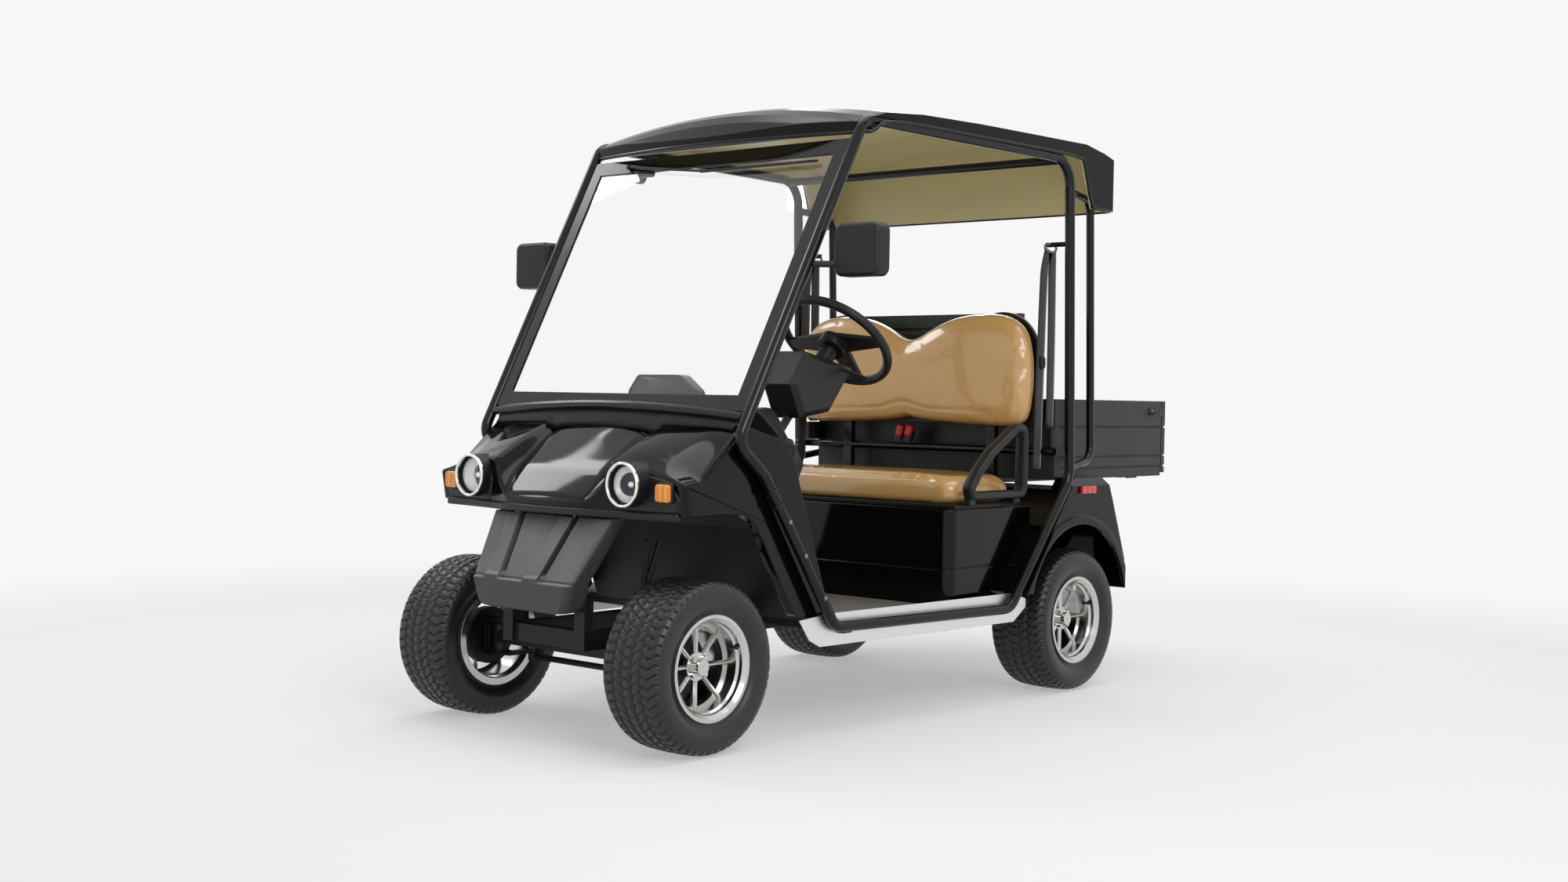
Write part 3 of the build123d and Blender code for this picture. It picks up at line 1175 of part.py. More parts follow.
def cargo_box():
    """Floor, two sides and the raised headboard. The rear is closed by the tailgate."""
    wall = BOX_WALL
    rear = BOX_REAR_Y - wall - GATE_GAP
    box = block(-BOX_HALF, BOX_HALF, BOX_FRONT_Y, rear, BOX_LOW_Z, BOX_TOP_Z)
    box -= block(-BOX_HALF + wall, BOX_HALF - wall, BOX_FRONT_Y + wall, rear + OVERRUN, BOX_LOW_Z + wall,
                 BOX_TOP_Z + OVERRUN)
    box += block(-HEAD_HALF, HEAD_HALF, BOX_FRONT_Y, BOX_FRONT_Y + wall, BOX_TOP_Z - wall, HEAD_TOP_Z)
    for groove in box_grooves(BOX_FRONT_Y + wall, rear + OVERRUN):
        box -= groove
    depth = BOX_GROOVE_DEPTH
    for z in HEAD_GROOVE_ZS:
        for y in (BOX_FRONT_Y, BOX_FRONT_Y + wall):
            box -= block(-HEAD_HALF + wall, HEAD_HALF - wall, y - depth, y + depth, z,
                         z + 2 * BOX_GROOVE_HEIGHT)
    low = BOX_TOP_Z - 2 * LATCH_HEIGHT
    for x in (-BOX_HALF - LATCH_THICK, BOX_HALF):
        box += block(x, x + LATCH_THICK, rear - LATCH_LENGTH, rear, low, low + LATCH_HEIGHT)
    for x in (-GATE_HINGE_X, GATE_HINGE_X):
        ear_low = GATE_HINGE_Z - HINGE_LUG_RADIUS
        box += hinge_ears(x, GATE_HINGE_Y, GATE_HINGE_Z, rear - wall, ear_low, BOX_LOW_Z + wall / 10)
    return box


def tailgate():
    """The gate at the box's rear, with two lugs on its lower edge."""
    low = BOX_LOW_Z + GATE_GAP + MOVE_GAP
    gate = block(-BOX_HALF, BOX_HALF, BOX_REAR_Y - BOX_WALL, BOX_REAR_Y, low, BOX_TOP_Z)
    for groove in box_grooves(0, BOX_REAR_Y + OVERRUN):
        gate -= groove
    inner = BOX_HALF - BOX_WALL
    for z in BOX_GROOVE_ZS[1:]:
        gate -= block(-inner, inner, BOX_REAR_Y - BOX_GROOVE_DEPTH, BOX_REAR_Y + OVERRUN, z,
                      z + BOX_GROOVE_HEIGHT)
    for x in (-GATE_HINGE_X, GATE_HINGE_X):
        half = HINGE_LUG_WIDTH / 2
        gate += block(x - half, x + half, BOX_REAR_Y - BOX_WALL / 2, GATE_HINGE_Y + HINGE_LUG_RADIUS,
                      GATE_HINGE_Z,
                      low + BOX_WALL)
        gate += lug(x, GATE_HINGE_Y, GATE_HINGE_Z, HINGE_LUG_WIDTH, HINGE_LUG_RADIUS)
        gate -= hinge_bore(x, GATE_HINGE_Y, GATE_HINGE_Z)
    return gate


def box_subframe():
    """Two rails between the body deck and the box floor, tied by cross pieces."""
    low, top = DECK_Z + SEAT_GAP, BOX_LOW_Z - SEAT_GAP
    frame = None
    for x in (-BED_RAIL_X, BED_RAIL_X):
        rail = block(x - BED_RAIL_WIDTH / 2, x + BED_RAIL_WIDTH / 2, BODY_TOP_FRONT_Y, BED_RAIL_REAR_Y,
                     low, top)
        frame = rail if frame is None else frame + rail
    for y in (BODY_TOP_FRONT_Y, BODY_TOP_REAR_Y, BED_RAIL_REAR_Y - BED_RAIL_WIDTH):
        frame += block(-BED_RAIL_X, BED_RAIL_X, y, y + BED_RAIL_WIDTH, low, top)
    return frame


def rear_axle():
    """Axle tube, round differential housing and motor on the rear axle line."""
    z = TYRE_RADIUS
    half = REAR_TRACK / 2 - RIM_WIDTH / 2
    axle = rod((-half, WHEELBASE, z), (half, WHEELBASE, z), AXLE_TUBE_RADIUS)
    axle += rod((-SPRING_WIDTH, WHEELBASE, z), (SPRING_WIDTH, WHEELBASE, z), DIFF_RADIUS)
    axle += rod((0, WHEELBASE + DIFF_RADIUS / 2, z), (0, WHEELBASE + DIFF_RADIUS / 2 + MOTOR_LENGTH, z),
                MOTOR_RADIUS * 0.8)
    stub = REAR_TRACK / 2 + RIM_WIDTH / 2 - DISH_DEPTH - HUB_THICK / 2
    return axle + rod((-stub, WHEELBASE, z), (stub, WHEELBASE, z), SPINDLE_RADIUS)


def spring_and_shock():
    z = TYRE_RADIUS + AXLE_TUBE_RADIUS + SEAT_GAP
    y = WHEELBASE
    rise = SPRING_DROP
    top = rise + SPRING_THICK
    points = [(y - SPRING_HALF, z + rise), ((y, z), (y + SPRING_HALF, z + rise)), (y + SPRING_HALF, z + top),
              ((y, z + SPRING_THICK), (y - SPRING_HALF, z + top))]
    return prism_x(points, SPRING_X - SPRING_WIDTH / 2, SPRING_X + SPRING_WIDTH / 2)


def front_axle():
    """The beam with an upright kingpin sleeve at each end."""
    z = TYRE_RADIUS
    beam = block(-KINGPIN_X, KINGPIN_X, -BEAM_DEPTH / 2, BEAM_DEPTH / 2, BEAM_Z - BEAM_HEIGHT / 2,
                 BEAM_Z + BEAM_HEIGHT / 2)
    for x in (-KINGPIN_X, KINGPIN_X):
        beam += rod((x, 0, z - SLEEVE_HALF), (x, 0, z + SLEEVE_HALF), SLEEVE_RADIUS)
    for x in (-KINGPIN_X, KINGPIN_X):
        beam -= rod((x, 0, z - SLEEVE_HALF - OVERRUN), (x, 0, z + SLEEVE_HALF + OVERRUN),
                    KINGPIN_RADIUS + RUNNING_GAP)
    return beam


def front_strut():
    """A damper that stands on the beam, and a thin link beside it."""
    foot = (STRUT_FOOT_X, 0, BEAM_Z)
    middle = between(foot, STRUT_TOP, 0.55)
    strut = rod(foot, middle, STRUT_RADIUS) + rod(middle, STRUT_TOP, STRUT_ROD_RADIUS)
    strut += rod(between(foot, STRUT_TOP, 0.5), (STRUT_TOP[0], STRUT_TOP[1] + LINK_OFFSET, STRUT_TOP[2]),
                 STRUT_ROD_RADIUS)
    seat = BEAM_Z + BEAM_HEIGHT / 2 + SEAT_GAP
    return strut - block(0, KINGPIN_X, -BEAM_DEPTH, BEAM_DEPTH, 0, seat)


def knuckle():
    """Left fork round the beam's sleeve, with its kingpin, spindle, drum and steering arm."""
    z = TYRE_RADIUS
    top = SLEEVE_HALF + SEAT_GAP + FORK_THICK
    body = rod((KINGPIN_X, 0, z - top), (KINGPIN_X, 0, z + top), KINGPIN_RADIUS)
    web = KINGPIN_X + SLEEVE_RADIUS + MOVE_GAP
    for low in (z - top, z + top - FORK_THICK):
        body += block(KINGPIN_X - SLEEVE_RADIUS, web + FORK_THICK, -FORK_DEPTH / 2, FORK_DEPTH / 2, low,
                      low + FORK_THICK)
    body += block(web, web + FORK_THICK, -FORK_DEPTH / 2, FORK_DEPTH / 2, z - top, z + top)
    stub = FRONT_TRACK / 2 + RIM_WIDTH / 2 - DISH_DEPTH - HUB_THICK / 2
    body += rod((web, 0, z), (stub, 0, z), SPINDLE_RADIUS)
    body += rod((web + FORK_THICK, 0, z), (web + FORK_THICK + DRUM_THICK, 0, z), DRUM_RADIUS)
    arm_x = KINGPIN_X - STEER_ARM_INSET
    body += block(arm_x - STEER_ARM_WIDTH / 2, arm_x + STEER_ARM_WIDTH / 2, 0, STEER_ARM, z - top,
                  z - top + STEER_ARM_THICK)
    return body


def tie_rod():
    """The bar below the steering arms, with an eye under each arm's end."""
    z = TYRE_RADIUS - SLEEVE_HALF - SEAT_GAP - FORK_THICK - SEAT_GAP - TIE_ROD_EYE_HALF
    half = KINGPIN_X - STEER_ARM_INSET
    bar = rod((-half, STEER_ARM, z), (half, STEER_ARM, z), TIE_ROD_RADIUS)
    for x in (-half, half):
        bar += rod((x, STEER_ARM, z - TIE_ROD_EYE_HALF), (x, STEER_ARM, z + TIE_ROD_EYE_HALF), TIE_ROD_EYE)
    return bar


def tyre(centre_x, centre_y):
    """A solid ring with rounded shoulders between the rim's flanges."""
    half = TYRE_WIDTH / 2
    bead = RIM_RADIUS + SEAT_GAP
    seat = RIM_WIDTH / 2 - RIM_WALL - SEAT_GAP
    flank = (TYRE_RADIUS + RIM_FLANGE_RADIUS) / 2
    crown = TYRE_RADIUS - TYRE_SHOULDER
    points = [(bead, -seat), (RIM_FLANGE_RADIUS + RIM_WALL, -seat), (flank, -half), (crown, -half),
              (TYRE_RADIUS, -half + TYRE_SHOULDER), (TYRE_RADIUS, half - TYRE_SHOULDER), (crown, half),
              (flank, half),
              (RIM_FLANGE_RADIUS + RIM_WALL, seat), (bead, seat)]
    ring = revolve(make_face(outline(points)), Axis.Y)
    return Pos(centre_x, centre_y, TYRE_RADIUS) * Rot(0, 0, 90) * ring


def barrel():
    """The rim's section turned about its axle: flanges, a stepped outer lip and the drop to the dish."""
    half = RIM_WIDTH / 2
    inner = RIM_RADIUS - RIM_WALL
    step = half - LIP_DEPTH
    seat = half - RIM_WALL
    points = [(inner, -half), (RIM_FLANGE_RADIUS, -half), (RIM_FLANGE_RADIUS, -seat), (RIM_RADIUS, -seat),
              (RIM_RADIUS, seat),
              (RIM_FLANGE_RADIUS, seat), (RIM_FLANGE_RADIUS, half), (RIM_FLANGE_RADIUS - LIP_STEP, half),
              (inner, half - LIP_STEP), (inner, step), (inner - RIM_WALL, step - RIM_WALL),
              (inner - RIM_WALL, -step)]
    return revolve(make_face(outline(points)), Axis.Y)


def rim(side, centre_x, centre_y):
    """Barrel, a ring of straight spokes set back in the dish, a hub, a cap and nuts."""
    wheel = barrel()
    face = RIM_WIDTH / 2 - DISH_DEPTH
    inner = RIM_RADIUS - 2 * RIM_WALL
    wheel += Pos(0, face - HUB_THICK / 2, 0) * Rot(90, 0, 0) * Cylinder(HUB_RADIUS, HUB_THICK)
    ring = Cylinder(RIM_RADIUS - RIM_WALL, SPOKE_THICK) - Cylinder(SPOKE_RING_RADIUS, SPOKE_THICK)
    wheel += Pos(0, face - SPOKE_THICK, 0) * Rot(90, 0, 0) * ring
    half, thick = SPOKE_WIDTH / 2, SPOKE_THICK
    corners = [(-half, thick), (half, thick), (half, thick / 2), (half / 3, 0), (-half / 3, 0),
               (-half, thick / 2)]
    root = Plane(origin=(HUB_RADIUS / 2, face, 0), x_dir=(0, 0, 1), z_dir=(1, 0, 0))
    spoke = extrude(root * make_face(outline(corners)), amount=inner - HUB_RADIUS / 2)
    for number in range(SPOKE_COUNT):
        wheel += Rot(0, 360 / SPOKE_COUNT * number, 0) * spoke
    wheel += Pos(0, face + CAP_LENGTH / 2, 0) * Rot(90, 0, 0) * Cylinder(CAP_RADIUS, CAP_LENGTH)
    for number in range(LUG_COUNT):
        nut = Pos(LUG_CIRCLE, face + LUG_HEIGHT / 2, 0) * Rot(90, 0, 0) * Cylinder(LUG_RADIUS, LUG_HEIGHT)
        wheel += Rot(0, 360 / LUG_COUNT * (number + 0.5), 0) * nut
    bore = Pos(0, face - HUB_THICK / 2, 0) * Rot(90, 0, 0) * Cylinder(SPINDLE_RADIUS + RUNNING_GAP,
                                                                      HUB_THICK)
    wheel -= bore
    return Pos(centre_x, centre_y, TYRE_RADIUS) * Rot(0, 0, -90 * side) * wheel


def save(name, shape):
    """Moves a piece to the part's own origin and writes it."""
    solids = shape.solids() if hasattr(shape, "solids") else [s for piece in shape for s in piece.solids()]
    moved = [Pos(0, ORIGIN_SHIFT, 0) * solid for solid in solids]
    export_step(moved[0] if len(moved) == 1 else Compound(children=moved), f"parts/{name}.step")


def main():
    os.makedirs("parts", exist_ok=True)
    frame = side_frame()
    mirror_left = mirror_housing()
    knuckle_left = knuckle()
    save("chassis_frame", chassis_frame())
    save("floor_pan", floor_pan())
    save("sill_trims", both(sill_trim()))
    save("front_cowl", front_cowl())
    save("hood_panel", hood_panel())
    save("lamp_buckets", both(lamp_bucket()))
    save("lamp_rings", both(lamp_ring()))
    save("lamp_lenses", both(lamp_lens()))
    save("indicators", both(indicator()))
    save("bumper_apron", bumper_apron())
    save("dash", dash())
    save("steering_column", steering_column())
    save("steering_wheel", steering_wheel())
    save("pedals", pedals())
    save("side_frame_left", frame)
    save("side_frame_right", mirror(frame, about=Plane.YZ))
    save("windshield_glass", windshield_glass())
    save("windshield_frame", [windshield_frame(), lower_rail()])
    save("wiper", [wiper(), wiper_motor()])
    save("mirror_left", mirror_left)
    save("mirror_right", mirror(mirror_left, about=Plane.YZ))
    save("mirror_glasses", both(mirror_glass()))
    save("roof_shell", roof_shell())
    save("roof_liner", roof_liner())
    save("roof_cross_tubes", roof_cross_tubes())
    save("seat_base", seat_base())
    save("battery_pack", battery_pack())
    save("seat_board", seat_board())
    save("seat_cushion", seat_cushion())
    save("backrest_cushion", backrest_cushion())
    save("backrest_shell", backrest_shell())
    save("backrest_frame", backrest_frame())
    save("armrests", both(armrest()))
    save("belt_webbing", both(belt_webbing()))
    save("belt_retractors", both(belt_retractor()))
    save("belt_buckles", both(belt_buckle()))
    save("rear_body", rear_body())
    save("tail_lamps", both(tail_lamp()))
    save("rear_bumper", rear_bumper())
    save("cargo_box", cargo_box())
    save("tailgate", tailgate())
    save("box_subframe", box_subframe())
    save("rear_axle", [rear_axle(), both(spring_and_shock())])
    save("front_axle", [front_axle(), both(front_strut())])
    save("tie_rod", tie_rod())
    save("knuckle_left", knuckle_left)
    save("knuckle_right", mirror(knuckle_left, about=Plane.YZ))
    for side, side_name in ((1, "left"), (-1, "right")):
        for track, y, end in ((FRONT_TRACK, 0, "front"), (REAR_TRACK, WHEELBASE, "rear")):
            save(f"tyre_{end}_{side_name}", tyre(side * track / 2, y))
            save(f"rim_{end}_{side_name}", rim(side, side * track / 2, y))


main()
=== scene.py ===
import json
import math

import bmesh
import bpy
import numpy as np
from mathutils import Matrix, Vector


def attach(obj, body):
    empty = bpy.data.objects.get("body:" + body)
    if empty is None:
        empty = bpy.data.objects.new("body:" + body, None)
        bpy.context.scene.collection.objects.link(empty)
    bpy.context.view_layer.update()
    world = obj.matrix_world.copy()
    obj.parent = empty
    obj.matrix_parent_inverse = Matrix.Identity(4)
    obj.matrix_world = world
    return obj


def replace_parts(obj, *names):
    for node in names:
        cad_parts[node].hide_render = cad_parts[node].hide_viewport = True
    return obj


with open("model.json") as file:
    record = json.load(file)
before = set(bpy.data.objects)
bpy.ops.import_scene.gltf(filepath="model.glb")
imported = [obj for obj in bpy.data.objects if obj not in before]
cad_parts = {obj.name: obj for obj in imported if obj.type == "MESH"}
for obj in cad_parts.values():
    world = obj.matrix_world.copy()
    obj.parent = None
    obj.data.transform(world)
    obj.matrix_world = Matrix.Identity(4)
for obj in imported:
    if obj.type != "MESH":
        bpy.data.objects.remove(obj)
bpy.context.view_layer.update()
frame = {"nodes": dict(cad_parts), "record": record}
NODES = frame["nodes"]

# Lengths are in metres, in the part's own frame: +Y to the rear, +X to the vehicle's left, ground at z = 0
FRONT_AXLE_Y = -1.05475
REAR_AXLE_Y = FRONT_AXLE_Y + 1.65
TYRE_R = 0.2295
AXLE_Z = TYRE_R
FRONT_WHEEL_X = 0.425
REAR_WHEEL_X = 0.485
AXLES = (("front", FRONT_WHEEL_X, FRONT_AXLE_Y), ("rear", REAR_WHEEL_X, REAR_AXLE_Y))
SIDES = ((1, "left"), (-1, "right"))


# Meshes from surfaces of two parameters

def grid_faces(rows, columns, around_rows=False, around_columns=False):
    """Quads of a rows x columns grid of points: each point joins its right and lower neighbours, with
    wrapping where asked."""
    r = np.arange(rows if around_rows else rows - 1)
    c = np.arange(columns if around_columns else columns - 1)
    i, j = np.meshgrid(r, c, indexing="ij")
    i2, j2 = (i + 1) % rows, (j + 1) % columns
    corners = [i * columns + j, i2 * columns + j, i2 * columns + j2, i * columns + j2]
    return np.stack(corners, -1).reshape(-1, 4)


def mesh_piece(name, points, faces, smooth=True, facing=None):
    """An object at the origin from an (n, 3) array of points and a list of faces, doubles merged. Faces are
    turned outwards, or on an open skin to the side that the direction facing names."""
    mesh = bpy.data.meshes.new(name)
    corners = [list(map(int, face)) for face in faces]
    mesh.from_pydata(np.asarray(points, float).reshape(-1, 3).tolist(), [], corners)
    piece = bpy.data.objects.new(name, mesh)
    bpy.context.scene.collection.objects.link(piece)
    work = bmesh.new()
    work.from_mesh(mesh)
    bmesh.ops.remove_doubles(work, verts=work.verts, dist=1e-6)
    if facing is None:
        bmesh.ops.recalc_face_normals(work, faces=work.faces)
    else:
        work.normal_update()
        if sum(face.normal.dot(Vector(facing)) * face.calc_area() for face in work.faces) < 0:
            bmesh.ops.reverse_faces(work, faces=work.faces)
    work.to_mesh(mesh)
    work.free()
    mesh.polygons.foreach_set("use_smooth", np.full(len(mesh.polygons), smooth))
    mesh.update()
    return piece


def surface(name, points, around_rows=False, smooth=True):
    """A (rows, columns, 3) array of points as a closed skin. Columns wrap round; rows wrap round too where
    asked, or else one face each closes the first and the last row."""
    rows, columns = points.shape[:2]
    faces = grid_faces(rows, columns, around_rows, True).tolist()
    if not around_rows:
        faces.append(list(range(columns)))
        faces.append(list(range((rows - 1) * columns, rows * columns)))
    return mesh_piece(name, points, faces, smooth)


def points_of(piece):
    """The piece's points as an (n, 3) array."""
    points = np.empty(len(piece.data.vertices) * 3)
    piece.data.vertices.foreach_get("co", points)
    return points.reshape(-1, 3)


def set_points(piece, points):
    piece.data.vertices.foreach_set("co", points.ravel())
    piece.data.update()


def tipped(piece, angle, axis, point):
    """Turns a piece's points about the line along the axis through the point."""
    there = Matrix.Translation(point)
    piece.data.transform(there @ Matrix.Rotation(angle, 4, axis) @ there.inverted())


def carried(name, path, profile, closed=False):
    """A profile carried along a path: at each path point, point = path + across * profile x + up * profile y,
    where across and up stay square to the path's own direction and keep level."""
    path = np.asarray(path, float)
    profile = np.asarray(profile, float)
    run = np.roll(path, -1, 0) - np.roll(path, 1, 0) if closed else np.gradient(path, axis=0)
    run /= np.linalg.norm(run, axis=1)[:, None]
    level = np.tile(np.array([0.0, 0.0, 1.0]), (len(path), 1))
    steep = np.abs(run[:, 2]) > 0.97
    level[steep] = [0.0, 1.0, 0.0]
    across = np.cross(run, level)
    across /= np.linalg.norm(across, axis=1)[:, None]
    up = np.cross(across, run)
    points = path[:, None] + across[:, None] * profile[None, :, :1] + up[:, None] * profile[None, :, 1:]
    return surface(name, points, around_rows=closed)


def full_turn(count):
    """Angles of count even steps round a circle."""
    return np.linspace(0, 2 * math.pi, count, endpoint=False)


def signed_power(value, power):
    """The value's size raised to a power, with the value's own sign."""
    return np.sign(value) * np.abs(value) ** power


def smooth_step(low, high, value):
    """0 below low, 1 above high, and 3t^2 - 2t^3 between them."""
    t = np.clip((value - low) / (high - low), 0, 1)
    return t * t * (3 - 2 * t)


def cut_corners(lines, passes=3, closed=False):
    """Lines of points (..., n, k) with every run replaced by its points at a quarter and at three quarters,
    passes times. Open lines keep their two ends."""
    for _ in range(passes):
        if closed:
            after = np.roll(lines, -1, -2)
            cut = np.stack([lines * 0.75 + after * 0.25, lines * 0.25 + after * 0.75], -2)
            lines = cut.reshape(*lines.shape[:-2], -1, lines.shape[-1])
        else:
            cut = np.empty((*lines.shape[:-2], 2 * lines.shape[-2] - 2, lines.shape[-1]))
            cut[..., 0::2, :] = lines[..., :-1, :] * 0.75 + lines[..., 1:, :] * 0.25
            cut[..., 1::2, :] = lines[..., :-1, :] * 0.25 + lines[..., 1:, :] * 0.75
            lines = np.concatenate([lines[..., :1, :], cut, lines[..., -1:, :]], -2)
    return lines


def lengths_along(points):
    """Distance of each point from the first one, measured along the line of points."""
    return np.concatenate([[0], np.cumsum(np.linalg.norm(np.diff(points, axis=0), axis=1))])


def ring_profile(radius, count=12):
    """Points on a circle: radius * (cos t, sin t)."""
    t = full_turn(count)
    return np.stack([np.cos(t), np.sin(t)], -1) * radius


def rounded_profile(half_x, half_y, power=3.0, count=20):
    """A superellipse: |x / half_x|^power + |y / half_y|^power = 1."""
    t = full_turn(count)
    x, y = signed_power(np.cos(t), 2 / power), signed_power(np.sin(t), 2 / power)
    return np.stack([x * half_x, y * half_y], -1)


def turned(name, profile, centre, axis, count, closed=False):
    """A profile of (distance along the axis, radius) turned about the axis:
    point = centre + axis * distance + radius * (cos t, sin t)."""
    profile = np.asarray(profile, float)
    axis = np.asarray(axis, float) / np.linalg.norm(axis)
    side = np.cross(axis, [0.0, 0.0, 1.0] if abs(axis[2]) < 0.9 else [0.0, 1.0, 0.0])
    side /= np.linalg.norm(side)
    other = np.cross(axis, side)
    t = full_turn(count)
    ring = side[None] * np.cos(t)[:, None] + other[None] * np.sin(t)[:, None]
    points = np.asarray(centre, float) + axis * profile[:, None, :1] + ring[None] * profile[:, None, 1:]
    return surface(name, points, around_rows=closed)


def joined(name, pieces):
    """Several pieces as one mesh."""
    bpy.ops.object.select_all(action="DESELECT")
    for piece in pieces:
        piece.select_set(True)
    bpy.context.view_layer.objects.active = pieces[0]
    bpy.ops.object.join()
    pieces[0].name = name
    pieces[0].data.name = name
    return pieces[0]


# Shader node groups: each puts out one mask, height, value or normal

def group(name, inputs, outputs):
    tree = bpy.data.node_groups.new(name, "ShaderNodeTree")
    for label, default in inputs:
        socket = tree.interface.new_socket(label, in_out="INPUT", socket_type="NodeSocketFloat")
        socket.default_value = default
    for label in outputs:
        tree.interface.new_socket(label, in_out="OUTPUT", socket_type="NodeSocketFloat")
    return tree, tree.nodes.new("NodeGroupInput"), tree.nodes.new("NodeGroupOutput")


def math_node(tree, operation, first, second=None, clamp=False):
    node = tree.nodes.new("ShaderNodeMath")
    node.operation = operation
    node.use_clamp = clamp
    for socket, value in ((node.inputs[0], first), (node.inputs[1], second)):
        if value is None:
            continue
        if isinstance(value, (int, float)):
            socket.default_value = value
        else:
            tree.links.new(value, socket)
    return node.outputs[0]


def object_noise(tree, scale, detail=3.0):
    place = tree.nodes.new("ShaderNodeTexCoord")
    noise = tree.nodes.new("ShaderNodeTexNoise")
    noise.inputs["Detail"].default_value = detail
    noise.inputs["Roughness"].default_value = 0.55
    tree.links.new(place.outputs["Object"], noise.inputs["Vector"])
    if isinstance(scale, (int, float)):
        noise.inputs["Scale"].default_value = scale
    else:
        tree.links.new(scale, noise.inputs["Scale"])
    return noise.outputs["Fac"]


def edge_wear_group():
    """1 where the surface turns sharply within Width, broken up by noise, times Amount."""
    tree, given, out = group("edge_wear", [("Width", 0.002), ("Amount", 0.5)], ["Mask"])
    bevel = tree.nodes.new("ShaderNodeBevel")
    bevel.samples = 4
    tree.links.new(given.outputs["Width"], bevel.inputs["Radius"])
    flat = tree.nodes.new("ShaderNodeNewGeometry")
    dot = tree.nodes.new("ShaderNodeVectorMath")
    dot.operation = "DOT_PRODUCT"
    tree.links.new(bevel.outputs["Normal"], dot.inputs[0])
    tree.links.new(flat.outputs["Normal"], dot.inputs[1])
    turn = math_node(tree, "SUBTRACT", 1.0, dot.outputs["Value"])
    worn = math_node(tree, "MULTIPLY", turn, 6.0, clamp=True)
    patchy = math_node(tree, "MULTIPLY", worn, object_noise(tree, 60.0))
    mask = math_node(tree, "MULTIPLY", patchy, given.outputs["Amount"], clamp=True)
    tree.links.new(mask, out.inputs["Mask"])
    return tree


def soft_edges_group():
    """The surface's normal, turned gradually over Radius where two faces meet, as on a rounded edge."""
    tree = bpy.data.node_groups.new("soft_edges", "ShaderNodeTree")
    tree.interface.new_socket("Radius", in_out="INPUT", socket_type="NodeSocketFloat").default_value = 0.004
    tree.interface.new_socket("Normal", in_out="OUTPUT", socket_type="NodeSocketVector")
    given, out = tree.nodes.new("NodeGroupInput"), tree.nodes.new("NodeGroupOutput")
    bevel = tree.nodes.new("ShaderNodeBevel")
    bevel.samples = 4
    tree.links.new(given.outputs["Radius"], bevel.inputs["Radius"])
    tree.links.new(bevel.outputs["Normal"], out.inputs["Normal"])
    return tree


def settled_dust_group():
    """Amount times how far the surface faces up, times soft noise."""
    tree, given, out = group("settled_dust", [("Amount", 0.2), ("Scale", 6.0)], ["Mask"])
    flat = tree.nodes.new("ShaderNodeNewGeometry")
    parts = tree.nodes.new("ShaderNodeSeparateXYZ")
    tree.links.new(flat.outputs["Normal"], parts.inputs[0])
    up = math_node(tree, "MAXIMUM", parts.outputs["Z"], 0.0)
    soft = math_node(tree, "MULTIPLY", up, object_noise(tree, given.outputs["Scale"], 5.0))
    tree.links.new(math_node(tree, "MULTIPLY", soft, given.outputs["Amount"], clamp=True), out.inputs["Mask"])
    return tree


def moulded_grain_group():
    """Fine pebbled height for moulded plastic and vinyl: two noises of different size, added."""
    tree, given, out = group("moulded_grain", [("Scale", 400.0), ("Depth", 1.0)], ["Height"])
    coarse = object_noise(tree, given.outputs["Scale"], 2.0)
    fine = object_noise(tree, math_node(tree, "MULTIPLY", given.outputs["Scale"], 2.7), 2.0)
    both = math_node(tree, "ADD", coarse, math_node(tree, "MULTIPLY", fine, 0.5))
    tree.links.new(math_node(tree, "MULTIPLY", both, given.outputs["Depth"]), out.inputs["Height"])
    return tree


def handled_group():
    """A roughness that drifts between Low and High with slow noise, as wiped and handled surfaces do."""
    tree, given, out = group("handled", [("Low", 0.1), ("High", 0.2), ("Scale", 7.0)], ["Value"])
    spread = math_node(tree, "SUBTRACT", given.outputs["High"], given.outputs["Low"])
    share = math_node(tree, "MULTIPLY", object_noise(tree, given.outputs["Scale"], 4.0), spread)
    tree.links.new(math_node(tree, "ADD", share, given.outputs["Low"]), out.inputs["Value"])
    return tree


def lathe_rings_group():
    """Fine rings round a wheel's axle: the sine of the distance from the axle line, in the plane across X."""
    inputs = [("Axle Y", 0.0), ("Axle Z", AXLE_Z), ("Count", 4000.0)]
    tree, given, out = group("lathe_rings", inputs, ["Height"])
    place = tree.nodes.new("ShaderNodeTexCoord")
    parts = tree.nodes.new("ShaderNodeSeparateXYZ")
    tree.links.new(place.outputs["Object"], parts.inputs[0])
    y = math_node(tree, "SUBTRACT", parts.outputs["Y"], given.outputs["Axle Y"])
    z = math_node(tree, "SUBTRACT", parts.outputs["Z"], given.outputs["Axle Z"])
    square = math_node(tree, "ADD", math_node(tree, "MULTIPLY", y, y), math_node(tree, "MULTIPLY", z, z))
    angle = math_node(tree, "MULTIPLY", math_node(tree, "SQRT", square), given.outputs["Count"])
    tree.links.new(math_node(tree, "SINE", angle), out.inputs["Height"])
    return tree


def ribs_group():
    """Parallel ribs: the sine of Pitch * (Along X * x + Along Y * y), sharpened."""
    tree, given, out = group("ribs", [("Pitch", 400.0), ("Along Y", 1.0), ("Along X", 0.0)], ["Height"])
    place = tree.nodes.new("ShaderNodeTexCoord")
    parts = tree.nodes.new("ShaderNodeSeparateXYZ")
    tree.links.new(place.outputs["Object"], parts.inputs[0])
    y = math_node(tree, "MULTIPLY", parts.outputs["Y"], given.outputs["Along Y"])
    x = math_node(tree, "MULTIPLY", parts.outputs["X"], given.outputs["Along X"])
    angle = math_node(tree, "MULTIPLY", math_node(tree, "ADD", x, y), given.outputs["Pitch"])
    wave = math_node(tree, "SINE", angle)
    raised = math_node(tree, "ADD", math_node(tree, "MULTIPLY", wave, 1.6), 0.5, clamp=True)
    tree.links.new(raised, out.inputs["Height"])
    return tree


